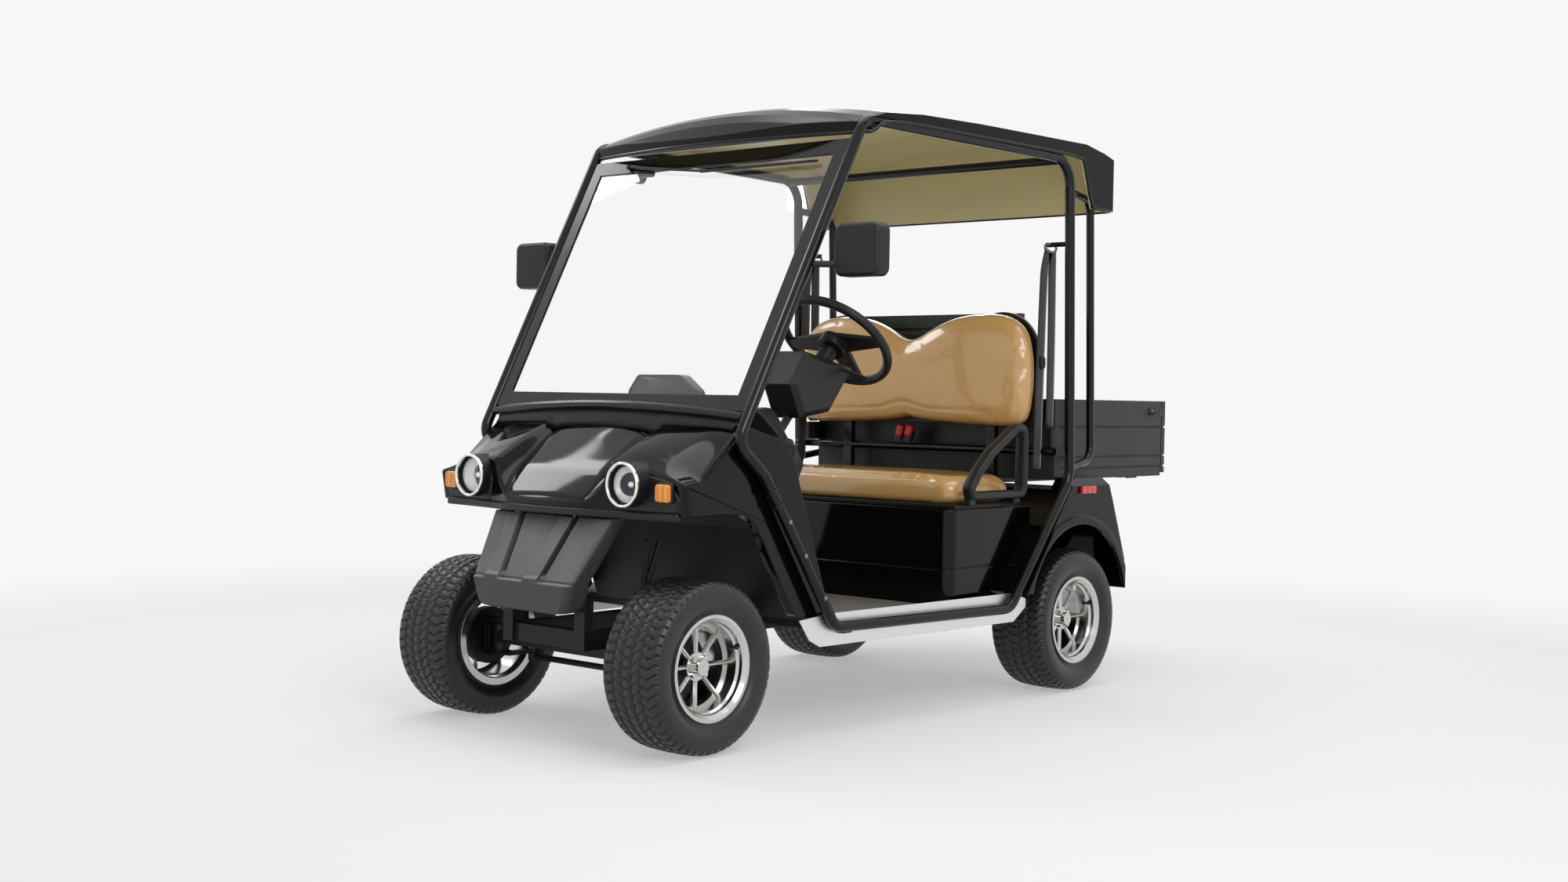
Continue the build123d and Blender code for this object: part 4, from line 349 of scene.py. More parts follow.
EDGE_WEAR = edge_wear_group()
SOFT_EDGES = soft_edges_group()
SETTLED_DUST = settled_dust_group()
MOULDED_GRAIN = moulded_grain_group()
HANDLED = handled_group()
LATHE_RINGS = lathe_rings_group()
RIBS = ribs_group()


# Materials

class Finish:
    """One material: a Principled shader with groups placed in front of its sockets."""

    def __init__(self, name, colour, **sockets):
        self.material = bpy.data.materials.new(name)
        self.material.use_nodes = True
        self.tree = self.material.node_tree
        self.shader = self.tree.nodes["Principled BSDF"]
        self.colour = (*colour, 1.0)
        self.shader.inputs["Base Color"].default_value = self.colour
        for label, value in sockets.items():
            self.shader.inputs[label.replace("_", " ")].default_value = value

    def place(self, tree, **values):
        node = self.tree.nodes.new("ShaderNodeGroup")
        node.node_tree = tree
        for label, value in values.items():
            node.inputs[label.replace("_", " ")].default_value = value
        return node.outputs[0]

    def rough(self, low, high, scale=7.0):
        value = self.place(HANDLED, Low=low, High=high, Scale=scale)
        self.tree.links.new(value, self.shader.inputs["Roughness"])
        return self

    def tinted(self, mask, colour):
        mix = self.tree.nodes.new("ShaderNodeMix")
        mix.data_type = "RGBA"
        self.tree.links.new(mask, mix.inputs["Factor"])
        source = self.shader.inputs["Base Color"].links
        if source:
            self.tree.links.new(source[0].from_socket, mix.inputs["A"])
        else:
            mix.inputs["A"].default_value = self.colour
        mix.inputs["B"].default_value = (*colour, 1.0)
        self.tree.links.new(mix.outputs["Result"], self.shader.inputs["Base Color"])
        return self

    def worn(self, colour, amount=0.5, width=0.002):
        return self.tinted(self.place(EDGE_WEAR, Width=width, Amount=amount), colour)

    def dusty(self, amount=0.25, colour=(0.3, 0.28, 0.25), scale=6.0):
        return self.tinted(self.place(SETTLED_DUST, Amount=amount, Scale=scale), colour)

    def bumped(self, height, strength, distance=0.001):
        bump = self.tree.nodes.new("ShaderNodeBump")
        bump.inputs["Strength"].default_value = strength
        bump.inputs["Distance"].default_value = distance
        self.tree.links.new(height, bump.inputs["Height"])
        before = self.shader.inputs["Normal"].links
        if before:
            self.tree.links.new(before[0].from_socket, bump.inputs["Normal"])
        self.tree.links.new(bump.outputs["Normal"], self.shader.inputs["Normal"])
        return self

    def eased(self, radius=0.004):
        self.tree.links.new(self.place(SOFT_EDGES, Radius=radius), self.shader.inputs["Normal"])
        return self

    def attribute(self, name):
        node = self.tree.nodes.new("ShaderNodeAttribute")
        node.attribute_name = name
        return node.outputs["Fac"]

    def ribs(self, pitch, axis):
        """Height of ribs that follow one another along the axis, X or Y."""
        return self.place(RIBS, Pitch=pitch, Along_X=float(axis == "X"), Along_Y=float(axis == "Y"))

    def grained(self, scale=400.0, strength=0.3, distance=0.0004):
        return self.bumped(self.place(MOULDED_GRAIN, Scale=scale, Depth=1.0), strength, distance)


def finishes():
    made = {}
    paint = Finish("glossy_black_body", (0.002, 0.002, 0.0022), IOR=1.45, Specular_IOR_Level=0.28)
    made["body_black"] = paint.eased(0.008).rough(0.03, 0.09, 5.0).dusty(0.02, (0.08, 0.08, 0.08)).grained(
        30.0, 0.03, 0.0006)
    roof = Finish("roof_black", (0.003, 0.003, 0.0033), IOR=1.45, Specular_IOR_Level=0.2)
    made["roof_black"] = roof.eased(0.006).rough(0.16, 0.26, 5.0).dusty(0.03, (0.08, 0.08, 0.08)).grained(
        60.0, 0.04, 0.0006)
    tube = Finish("powder_coated_tube", (0.003, 0.003, 0.0033), Specular_IOR_Level=0.34)
    made["tube_black"] = tube.rough(0.1, 0.2, 9.0).worn((0.04, 0.04, 0.04), 0.25).grained(900.0, 0.1, 0.0002)
    steel = Finish("chassis_paint", (0.006, 0.006, 0.0065), Specular_IOR_Level=0.3).eased(0.004)
    made["frame_steel"] = steel.rough(0.35, 0.55, 8.0).dusty(0.25, (0.06, 0.055, 0.05)).worn(
        (0.08, 0.075, 0.07), 0.4).grained(260.0, 0.15, 0.0004)
    iron = Finish("axle_casting", (0.02, 0.02, 0.021), Metallic=0.2).eased(0.004)
    made["axle_iron"] = iron.rough(0.4, 0.65, 12.0).dusty(0.35, (0.08, 0.07, 0.06)).grained(
        120.0, 0.5, 0.0008)
    mat = Finish("ribbed_floor_mat", (0.1, 0.095, 0.08), Specular_IOR_Level=0.3)
    made["floor_mat"] = mat.rough(0.5, 0.7, 10.0).dusty(0.8, (0.24, 0.23, 0.2), 9.0).grained(
        300.0, 0.4, 0.0006)
    trim = Finish("anodised_sill_trim", (0.78, 0.79, 0.8), Metallic=1.0).eased(0.002)
    made["bright_trim"] = trim.rough(0.3, 0.44, 14.0).worn((0.9, 0.9, 0.9), 0.4)
    trim.bumped(trim.ribs(1400.0, "Y"), 0.12, 0.0006)
    apron = Finish("grained_apron", (0.04, 0.041, 0.044), Specular_IOR_Level=0.45).eased(0.002)
    # Painted highlight: the edge mask at full amount over 4 mm mixes the apron's sharp edges towards pale
    # grey, for the bright line along the bumper's top edge. The strong settled_dust mask also lightens its
    # up-facing faces towards pale grey, so the upper panels read lighter than the bumper face.
    made["apron_grey"] = apron.rough(0.36, 0.5, 9.0).dusty(1.5, (0.24, 0.24, 0.245)).worn(
        (0.3, 0.3, 0.3), 1.0, 0.004).grained(340.0, 0.9, 0.001)
    cabin = Finish("cabin_plastic", (0.0085, 0.0085, 0.0095), Specular_IOR_Level=0.34).eased(0.006)
    made["cabin_plastic"] = cabin.rough(0.3, 0.45, 8.0).dusty(0.08, (0.08, 0.08, 0.08)).grained(
        500.0, 0.35, 0.0005)
    chrome = Finish("chrome_ring", (0.85, 0.86, 0.87), Metallic=1.0)
    made["chrome_ring"] = chrome.rough(0.05, 0.1, 20.0).worn((0.92, 0.92, 0.92), 0.3)
    bowl = Finish("lamp_reflector", (0.9, 0.91, 0.9), Metallic=0.35)
    made["lamp_reflector"] = bowl.rough(0.3, 0.42, 30.0).bumped(bowl.ribs(900.0, "X"), 0.25, 0.0012)
    glass = Finish("lamp_glass", (0.97, 0.98, 0.98), Transmission_Weight=1.0, IOR=1.2)
    made["lamp_glass"] = glass.rough(0.0, 0.04, 20.0).bumped(glass.ribs(620.0, "X"), 0.2, 0.0012)
    amber = Finish("amber_lens", (0.85, 0.23, 0.008), IOR=1.49, Coat_Weight=0.5, Coat_Roughness=0.03)
    made["amber_lens"] = amber.rough(0.08, 0.14, 20.0).tinted(amber.ribs(330.0, "X"), (0.95, 0.42, 0.03))
    amber.bumped(amber.ribs(1000.0, "X"), 0.5, 0.0015)
    red = Finish("red_lens", (0.5, 0.008, 0.01), IOR=1.49, Coat_Weight=0.5, Coat_Roughness=0.03)
    made["red_lens"] = red.rough(0.08, 0.14, 20.0).tinted(red.ribs(220.0, "Y"), (0.75, 0.05, 0.04))
    red.bumped(red.ribs(1400.0, "Y"), 0.4, 0.001)
    clear = Finish("windshield_glass", (0.975, 0.985, 0.98), Transmission_Weight=1.0, IOR=1.45)
    made["shield_glass"] = clear.rough(0.0, 0.015, 3.0)
    band = Finish("black_glass_band", (0.0045, 0.0045, 0.005), Specular_IOR_Level=0.42).eased(0.002)
    made["shield_band"] = band.rough(0.12, 0.2, 7.0).dusty(0.04, (0.1, 0.1, 0.1))
    seen = Finish("mirror_glass", (0.86, 0.88, 0.89), Metallic=1.0)
    made["mirror_glass"] = seen.rough(0.015, 0.04, 9.0).dusty(0.05, (0.7, 0.7, 0.7))
    liner = Finish("beige_roof_liner", (0.72, 0.63, 0.34), Specular_IOR_Level=0.45)
    made["liner_beige"] = liner.rough(0.25, 0.36, 6.0).grained(40.0, 0.1, 0.0015).grained(260.0, 0.12, 0.0004)
    case = Finish("battery_case", (0.03, 0.03, 0.035)).eased(0.005)
    made["battery_case"] = case.rough(0.4, 0.55, 8.0).dusty(0.3).grained(300.0, 0.2, 0.0004)
    vinyl = Finish("tan_vinyl", (0.62, 0.365, 0.13), IOR=1.5, Coat_Weight=0.8, Coat_Roughness=0.04)
    shade = vinyl.place(HANDLED, Low=0.0, High=0.5, Scale=14.0)
    made["seat_vinyl"] = vinyl.rough(0.2, 0.32, 9.0).tinted(shade, (0.56, 0.32, 0.105)).grained(
        22.0, 0.12, 0.002)
    vinyl.grained(650.0, 0.16, 0.0004)
    belt = Finish("belt_webbing", (0.014, 0.014, 0.015), Sheen_Weight=0.3)
    made["belt_black"] = belt.rough(0.6, 0.8, 30.0).bumped(belt.ribs(2600.0, "X"), 0.7, 0.0006)
    made["buckle_red"] = Finish("red_buckle", (0.55, 0.012, 0.014)).eased(0.002).rough(0.2, 0.3, 20.0).worn(
        (0.6, 0.1, 0.1), 0.4)
    box = Finish("cargo_box_plastic", (0.017, 0.02, 0.0155), Specular_IOR_Level=0.4).eased(0.005)
    made["box_plastic"] = box.rough(0.36, 0.5, 7.0).dusty(0.15, (0.08, 0.085, 0.075)).worn(
        (0.06, 0.06, 0.055), 0.4, 0.003).grained(420.0, 0.3, 0.0005)
    rubber = Finish("tyre_rubber", (0.012, 0.012, 0.0122), Specular_IOR_Level=0.5)
    # Painted shade: the rubber turns near black in the tread's grooves, by the groove depth stored on the
    # tyre's points.
    made["tyre_rubber"] = rubber.rough(0.28, 0.42, 11.0).dusty(0.1, (0.07, 0.068, 0.063)).tinted(
        rubber.attribute("groove_shade"), (0.0016, 0.0016, 0.0016)).grained(600.0, 0.3, 0.0005)
    screw = Finish("zinc_screw", (0.22, 0.22, 0.22), Metallic=1.0)
    made["screw_zinc"] = screw.rough(0.3, 0.45, 40.0).worn((0.5, 0.5, 0.5), 0.4, 0.0006)
    for end, _, y in AXLES:
        alloy = Finish(f"polished_alloy_{end}", (0.6, 0.6, 0.585), Metallic=1.0).eased(0.002)
        made[f"rim_alloy_{end}"] = alloy.rough(0.1, 0.22, 12.0).worn((0.8, 0.8, 0.78), 0.3).bumped(
            alloy.place(LATHE_RINGS, Axle_Y=y, Axle_Z=AXLE_Z, Count=5200.0), 0.1, 0.0004)
    return made


FINISH = finishes()


def finish_nodes():
    """Every CAD node takes the finish of its slot in the record."""
    for part in frame["record"]["subparts"]:
        node, slot = part["node"], part["material_slot"]
        key = slot if slot != "rim_alloy" else "rim_alloy_front" if "front" in node else "rim_alloy_rear"
        key = {"roof_shell": "roof_black", "floor_pan": "frame_steel"}.get(node, key)
        mesh = NODES[node].data
        mesh.materials.clear()
        mesh.materials.append(FINISH[key].material)


def dress(piece, finish, body="root"):
    """Gives a new piece its finish and its body."""
    piece.data.materials.clear()
    piece.data.materials.append(FINISH[finish].material)
    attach(piece, body)
    return piece


finish_nodes()


# Tyres

TREAD_PITCHES = 54
TREAD_STATIONS = 648
SECTION_POINTS = 78
TREAD_DEPTH = 0.0072
INNER_GROOVE = 0.0175
OUTER_GROOVE = 0.0475
FLANK_RING = 0.0011
TYRE_CORNERS = np.array([(-0.0827, 0.1276), (-0.0827, 0.1465), (-0.0985, 0.166), (-0.1022, 0.188),
                         (-0.0995, 0.208), (-0.089, 0.2215), (-0.074, 0.2268), (-0.04, 0.2288),
                         (0.0, TYRE_R)])


def tyre_profile():
    """Section of the tyre from the inner bead over the crown to the outer bead, as (across, radius): corners
    rounded by corner cutting, and points that lie closest together at the shoulders."""
    points = cut_corners(np.concatenate([TYRE_CORNERS, TYRE_CORNERS[-2::-1] * [-1, 1]]))
    length = lengths_along(points)
    share = np.linspace(0, 1, SECTION_POINTS)
    along = (share + 0.045 * np.sin(4 * math.pi * share) / math.pi) * length[-1]
    return np.stack([np.interp(along, length, points[:, 0]), np.interp(along, length, points[:, 1])], -1)


def cross_cut(turn, inner, outer):
    """1 on a cut in the middle of every pitch and 0 away from it; its half widths are shares of the pitch."""
    return 1 - smooth_step(inner, outer, np.abs((turn % 1) - 0.5))


def tread_depth(across, turn):
    """Groove depth in metres at (across, turn in pitches), the deepest of four patterns: two wavy grooves on
    each side of the centre rib, cross cuts that lean outwards in the rows between them, long wavy shoulder
    cuts that fade out down the flank, and shallow sipes between those."""
    side = np.abs(across)
    wave = 0.0022 * np.sin(2 * math.pi * turn)
    grooves = np.zeros_like(across)
    for centre in (-OUTER_GROOVE, -INNER_GROOVE, INNER_GROOVE, OUTER_GROOVE):
        off = np.abs(across - centre - wave * np.sign(centre))
        grooves = np.maximum(grooves, 1 - smooth_step(0.0016, 0.0036, off))
    middle = cross_cut(turn + side * 22, 0.035, 0.085) * np.where(side < OUTER_GROOVE, 0.85, 0)
    shoulder_turn = turn + 0.16 * np.sin((side - 0.05) * 190) + side * 6
    shoulder = cross_cut(shoulder_turn, 0.04, 0.1) * smooth_step(0.0465, 0.05, side)
    shoulder = shoulder * (1 - smooth_step(0.092, 0.1, side))
    sipes = cross_cut(shoulder_turn * 2, 0.05, 0.12) * smooth_step(0.052, 0.058, side)
    sipes = sipes * (1 - smooth_step(0.074, 0.08, side)) * 0.35
    return TREAD_DEPTH * np.maximum.reduce([grooves, middle, shoulder, sipes])


def make_tyre(name, centre_x, centre_y, side, body):
    """Radius = profile radius - tread depth(across, turn), turned about the axle; two thin raised rings stand
    on each flank."""
    section = tyre_profile()
    turns = np.linspace(0, 1, TREAD_STATIONS, endpoint=False)[:, None]
    across = np.tile(section[:, 0], (TREAD_STATIONS, 1))
    radius = np.tile(section[:, 1], (TREAD_STATIONS, 1))
    depth = tread_depth(across, turns * TREAD_PITCHES) * smooth_step(0.196, 0.212, radius)
    run = np.gradient(section, axis=0)
    upright = np.abs(run[:, 1]) / np.linalg.norm(run, axis=1)
    rings = np.exp(-((section[:, 1] - 0.158) / 0.0022) ** 2) + np.exp(-((section[:, 1] - 0.196) / 0.002) ** 2)
    raised = np.sign(section[:, 0]) * FLANK_RING * rings
    across = across + raised - np.sign(across) * depth * upright * 0.6
    radius = radius - depth
    angle = turns * 2 * math.pi
    y = centre_y + radius * np.cos(angle)
    z = AXLE_Z + radius * np.sin(angle)
    tyre = surface(f"tread_{name}", np.stack([centre_x + side * across, y, z], -1), around_rows=True)
    # Groove depth on each point, as a share of 5 mm; the rubber finish darkens by it, as painted shade in the
    # grooves.
    groove_shade = tyre.data.attributes.new("groove_shade", "FLOAT", "POINT")
    groove_shade.data.foreach_set("value", np.clip(depth / 0.005, 0, 1).ravel().astype(np.float32))
    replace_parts(tyre, f"tyre_{name}")
    return dress(tyre, "tyre_rubber", body=body)


def make_tyres():
    for end, x, y in AXLES:
        for side, word in SIDES:
            make_tyre(f"{end}_{word}", side * x, y, side, f"wheel_{end}_{word}")


make_tyres()


# Seat cushions

SEAT_BACK_Y = FRONT_AXLE_Y + 1.44
BACK_LEAN = math.radians(4)
SEAT_EDGE = 0.03
SEAT_TOP_Z, SEAT_FOOT_Z = 0.688, 0.618
SEAT_VOXEL = 0.0075
SEAT_PRESSURE = 4.0
SEAT_FRAMES = 20
SEAT_TRAVEL = 0.012


def pillow(name, outline, centre, front, back, crown, edge):
    """A crowned closed form from an outline: point = centre + s * (outline - centre), with depth front at s =
    1, bulging by crown towards the middle as 1 - s^2.4, turned over by edge at the rim, and flat behind."""
    share = np.sin(np.linspace(0, math.pi / 2, 16))
    turn = np.linspace(0, math.pi / 2, 8)
    rim, behind = 0.9 + 0.1 * np.sin(turn), 1 - 0.06 * (1 - np.cos(turn))
    scale = np.concatenate([share * 0.9, rim, [1.0], behind, 0.94 - share * 0.94])
    depth_front = front - crown * (1 - (share * 0.9) ** 2.4)
    round_front = front - crown * (1 - 0.9 ** 2.4) * np.cos(turn) + edge * (1 - np.cos(turn))
    round_back = back - edge * 0.6 * (1 - np.sin(turn))
    depth = np.concatenate([depth_front, round_front, [(front + back) / 2], round_back, np.full(16, back)])
    flat = np.asarray(outline, float)
    points = np.empty((len(scale), len(flat), 3))
    points[..., 0] = centre[0] + scale[:, None] * (flat[None, :, 0] - centre[0])
    points[..., 1] = depth[:, None]
    points[..., 2] = centre[1] + scale[:, None] * (flat[None, :, 1] - centre[1])
    return surface(name, points)


def puffed(piece):
    """Voxel remesh, then cloth with inner pressure and no gravity, each point's travel capped; then smoothed
    and subdivided once."""
    remesh = piece.modifiers.new("remesh", "REMESH")
    remesh.mode = "VOXEL"
    remesh.voxel_size = SEAT_VOXEL
    bpy.context.view_layer.objects.active = piece
    piece.select_set(True)
    bpy.ops.object.modifier_apply(modifier=remesh.name)
    start = points_of(piece)
    cloth = piece.modifiers.new("cloth", "CLOTH")
    cloth.settings.quality = 5
    cloth.settings.use_pressure = True
    cloth.settings.uniform_pressure_force = SEAT_PRESSURE
    cloth.settings.effector_weights.gravity = 0
    cloth.settings.tension_stiffness = 40
    cloth.settings.compression_stiffness = 40
    cloth.settings.bending_stiffness = 2
    scene = bpy.context.scene
    scene.frame_start, scene.frame_end = 1, SEAT_FRAMES
    for number in range(1, SEAT_FRAMES + 1):
        scene.frame_set(number)
    bpy.ops.object.modifier_apply(modifier=cloth.name)
    step = points_of(piece) - start
    reach = np.linalg.norm(step, axis=1)[:, None]
    set_points(piece, start + step * np.minimum(1, SEAT_TRAVEL / np.maximum(reach, 1e-9)))
    scene.frame_set(1)
    piece.data.polygons.foreach_set("use_smooth", np.ones(len(piece.data.polygons), bool))
    smooth = piece.modifiers.new("even", "SMOOTH")
    smooth.iterations = 4
    smooth.factor = 0.5
    bpy.ops.object.modifier_apply(modifier=smooth.name)
    finer = piece.modifiers.new("finer", "SUBSURF")
    finer.levels = finer.render_levels = 1
    piece.select_set(False)
    return piece


def back_outline():
    """The backrest from the front as (x, z): a closed curve with two crowns and the notch between them, from
    its corners by corner cutting."""
    half = np.array([(0.0, 1.149), (0.05, 1.163), (0.11, 1.196), (0.2, 1.226), (0.302, 1.232), (0.4, 1.219),
                     (0.466, 1.174), (0.491, 1.09), (0.496, 0.99), (0.491, 0.894), (0.462, 0.851),
                     (0.3, 0.846), (0.1, 0.855), (0.03, 0.864), (0.0, 0.872)])
    return cut_corners(np.concatenate([half, half[-2:0:-1] * [-1, 1]]), closed=True)


def box_outline(half_x, low, high, corner):
    """A rectangle with round corners as (x, other)."""
    quarter = np.linspace(0, math.pi / 2, 12)
    x, top, foot = half_x - corner, high - corner, low + corner
    points = []
    for number, (cx, cy) in enumerate(((x, top), (-x, top), (-x, foot), (x, foot))):
        angle = quarter + number * math.pi / 2
        points.append(np.stack([cx + corner * np.cos(angle), cy + corner * np.sin(angle)], -1))
    return np.concatenate(points)


def press_line(piece):
    """A shallow crease across the front of the back pad, 3 mm * exp(-(height off the line / 7 mm)^2) deep.
    The line rises by 22 mm at the middle and drops a little to both sides, where the crease fades out."""
    points = points_of(piece)
    line = 0.906 + 0.022 * np.exp(-(points[:, 0] / 0.07) ** 2) - 0.01 * (points[:, 0] / 0.4) ** 2
    ahead = points[:, 1] < SEAT_BACK_Y + 0.035
    fade = 1 - smooth_step(0.3, 0.4, np.abs(points[:, 0]))
    points[:, 1] += np.where(ahead, 0.003 * np.exp(-((points[:, 2] - line) / 0.007) ** 2) * fade, 0)
    set_points(piece, points)


def make_seats():
    front, rear = SEAT_BACK_Y + 0.017, SEAT_BACK_Y + 0.0765
    back = pillow("seat_back_pad", back_outline(), (0.0, 1.03), front, rear, 0.016, SEAT_EDGE)
    tipped(back, -BACK_LEAN, "X", (0, SEAT_BACK_Y, 0.857))
    puffed(back)
    press_line(back)
    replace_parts(back, "backrest_cushion")
    dress(back, "seat_vinyl")
    outline = box_outline(0.486, FRONT_AXLE_Y + 1.085, FRONT_AXLE_Y + 1.425, 0.06)
    middle = (0.0, FRONT_AXLE_Y + 1.255)
    pad = pillow("seat_pad", outline, middle, -SEAT_TOP_Z, -SEAT_FOOT_Z, 0.012, SEAT_EDGE)
    # The pillow is worked out standing up; this lays it on its back, so that depth becomes height
    x, y, z = points_of(pad).T
    set_points(pad, np.stack([x, z, -y], -1))
    work = bmesh.new()
    work.from_mesh(pad.data)
    bmesh.ops.recalc_face_normals(work, faces=work.faces)
    work.to_mesh(pad.data)
    work.free()
    puffed(pad)
    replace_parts(pad, "seat_cushion")
    dress(pad, "seat_vinyl", body="seat_lid")


make_seats()


# Front cowl, hood panel and lamps

COWL_HALF = 0.495
COWL_NOSE_Y = FRONT_AXLE_Y - 0.143
COWL_REACH = 0.473
COWL_LIP_Z = 0.62
COWL_RISE = 0.248
COWL_ROLL = 0.012
COWL_STATIONS = np.linspace(-COWL_HALF + COWL_ROLL, COWL_HALF - COWL_ROLL, 261)
# The cowl's corners at six places out from the centre, as shares of its reach and rise: the lip, the nose,
# the brow, the windshield base and the top of the back
COWL_PLACES = np.array([0.0, 0.303, 0.416, 0.475, 0.78, 1.0]) * COWL_HALF
COWL_CORNERS = np.array([
    [(0.013, 0.01), (0.0, 0.09), (0.155, 0.415), (0.503, 0.965), (1.0, 0.965)],
    [(0.027, 0.01), (0.019, 0.11), (0.163, 0.42), (0.5, 0.93), (1.0, 0.93)],
    [(0.053, 0.01), (0.05, 0.3), (0.228, 0.5), (0.514, 0.9), (1.0, 0.9)],
    [(0.066, 0.01), (0.068, 0.53), (0.26, 0.74), (0.54, 1.0), (1.0, 1.0)],
    [(0.108, 0.012), (0.104, 0.44), (0.25, 0.62), (0.545, 0.99), (1.0, 0.9)],
    [(0.129, 0.02), (0.095, 0.347), (0.218, 0.363), (0.567, 0.98), (1.0, 0.745)],
])
COWL_POINTS = COWL_CORNERS * [COWL_REACH, COWL_RISE] + [COWL_NOSE_Y, COWL_LIP_Z]
CHEEK_REAR_EDGE = np.array([(0.33, 0.749), (0.372, 0.63), (0.416, 0.515), (0.483, 0.34)])
LAMP_X, LAMP_Z, LAMP_FRONT_Y = 0.310, 0.700, FRONT_AXLE_Y - 0.136
LAMP_MOUTH_R, LAMP_BOWL_DEPTH = 0.0462, 0.026
INDICATOR_X, INDICATOR_Z, INDICATOR_FRONT_Y = 0.427, 0.682, FRONT_AXLE_Y - 0.112


def corners_eased(lines, reach, passes=3):
    """Lines of points (..., n, 2) with a point added before and after each corner, a reach away from it or at
    most 0.35 of the run, and then cut at the corners, passes times."""
    mid = lines[..., 1:-1, :]
    steps = []
    for run in (lines[..., :-2, :] - mid, lines[..., 2:, :] - mid):
        length = np.linalg.norm(run, axis=-1, keepdims=True)
        steps.append(mid + run * np.minimum(0.35, reach / length))
    kept = np.stack([steps[0], mid, steps[1]], -2).reshape(*lines.shape[:-2], -1, 2)
    return cut_corners(np.concatenate([lines[..., :1, :], kept, lines[..., -1:, :]], -2), passes)


def smooth_between(knots, values, places):
    """Cubic curves through the values (knots, m) without overshoot, read at the places: the slope at a knot
    is the weighted harmonic mean of the two runs beside it, and 0 where they turn back."""
    step = np.diff(knots)[:, None]
    run = np.diff(values, axis=0) / step
    product = run[:-1] * run[1:]
    near, far = 2 * step[1:] + step[:-1], step[1:] + 2 * step[:-1]
    safe = np.where(product > 0, run[:-1], 1.0), np.where(product > 0, run[1:], 1.0)
    inner = np.where(product > 0, (near + far) / (near / safe[0] + far / safe[1]), 0.0)
    slope = np.concatenate([run[:1], inner, run[-1:]])
    index = np.clip(np.searchsorted(knots, places) - 1, 0, len(knots) - 2)
    width = step[index]
    t = (np.asarray(places) - knots[index])[:, None] / width
    low, high = values[index], values[index + 1]
    low_slope, high_slope = slope[index] * width, slope[index + 1] * width
    return ((2 * t ** 3 - 3 * t ** 2 + 1) * low + (t ** 3 - 2 * t ** 2 + t) * low_slope
            + (3 * t ** 2 - 2 * t ** 3) * high + (t ** 3 - t ** 2) * high_slope)


def cowl_lines(places):
    """The cowl's (y, z) lines at places along x: its corner lines, eased and joined smoothly across."""
    lines = corners_eased(COWL_POINTS, 0.028)
    lines = np.concatenate([lines[:0:-1], lines])
    knots = np.concatenate([-COWL_PLACES[:0:-1], COWL_PLACES])
    found = smooth_between(knots, lines.reshape(len(knots), -1), places)
    return found.reshape(len(places), -1, 2)


def cowl_normals(lines):
    """Outward directions of the lines in their own plane: the run turned by a right angle."""
    run = np.gradient(lines, axis=1)
    run /= np.linalg.norm(run, axis=2, keepdims=True)
    return np.stack([-run[..., 1], run[..., 0]], -1)


def cowl_surface():
    """Grid of the cowl's skin: its lines over x, then at both ends a quarter circle of radius COWL_ROLL that
    turns the skin into the upright side."""
    places = COWL_STATIONS
    lines = cowl_lines(places)
    turn = np.linspace(0, math.pi / 2, 9)[1:]
    rolled = []
    for end in (0, -1):
        line, normal = lines[end], cowl_normals(lines[end:][:1])[0]
        sunk = line[None] - normal[None] * (COWL_ROLL * (1 - np.cos(turn)))[:, None, None]
        out = np.sign(places[end]) * (COWL_HALF - COWL_ROLL * (1 - np.sin(turn)))
        grid = np.empty((len(turn), len(line), 3))
        grid[..., 0] = out[:, None]
        grid[..., 1:] = sunk
        rolled.append(grid)
    middle = np.concatenate([np.broadcast_to(places[:, None, None], (*lines.shape[:2], 1)), lines], -1)
    return np.concatenate([rolled[0][::-1], middle, rolled[1]])


def cowl_height(x, y):
    """Height of the cowl's upper side over points (x, y), read between the nearest lines of a fine grid."""
    places = COWL_STATIONS
    depths = np.linspace(COWL_NOSE_Y, COWL_NOSE_Y + COWL_REACH, 400)
    heights = np.stack([np.interp(depths, line[np.argmin(line[:, 0]):, 0], line[np.argmin(line[:, 0]):, 1])
                        for line in cowl_lines(places)])
    column = np.clip((x - places[0]) / (places[1] - places[0]), 0, len(places) - 1.001)
    row = np.clip((y - depths[0]) / (depths[1] - depths[0]), 0, len(depths) - 1.001)
    i, j = column.astype(int), row.astype(int)
    a, b = column - i, row - j
    return ((1 - a) * (1 - b) * heights[i, j] + a * (1 - b) * heights[i + 1, j]
            + (1 - a) * b * heights[i, j + 1] + a * b * heights[i + 1, j + 1])


def thickened(piece, thickness):
    """Gives an open skin its wall, on the side away from its faces."""
    wall = piece.modifiers.new("wall", "SOLIDIFY")
    wall.thickness = thickness
    wall.offset = -1.0
    return piece


def slab(name, outline, low, high):
    """A flat outline of (y, z) points carried straight along X from low to high."""
    ends = [np.insert(np.asarray(outline, float), 0, level, axis=1) for level in (low, high)]
    return surface(name, np.stack(ends), smooth=False)


def side_cheek(name, edge, x_inner, x_outer):
    """The upright side below the cowl: the cowl's rolled edge, closed by the line round the wheel opening."""
    chain = np.concatenate([CHEEK_REAR_EDGE, [(0.462, 0.322), (0.432, 0.319), (0.339, 0.338), (0.27, 0.446),
                                              (0.201, 0.556), (0.17, 0.6), (0.13, 0.622), (0.06, 0.628)]])
    chain[:, 0] += FRONT_AXLE_Y
    chain = corners_eased(np.concatenate([edge[-1:], chain, edge[:1]]), 0.02, 2)
    return slab(name, np.concatenate([edge, chain[1:-1]]), x_inner, x_outer)


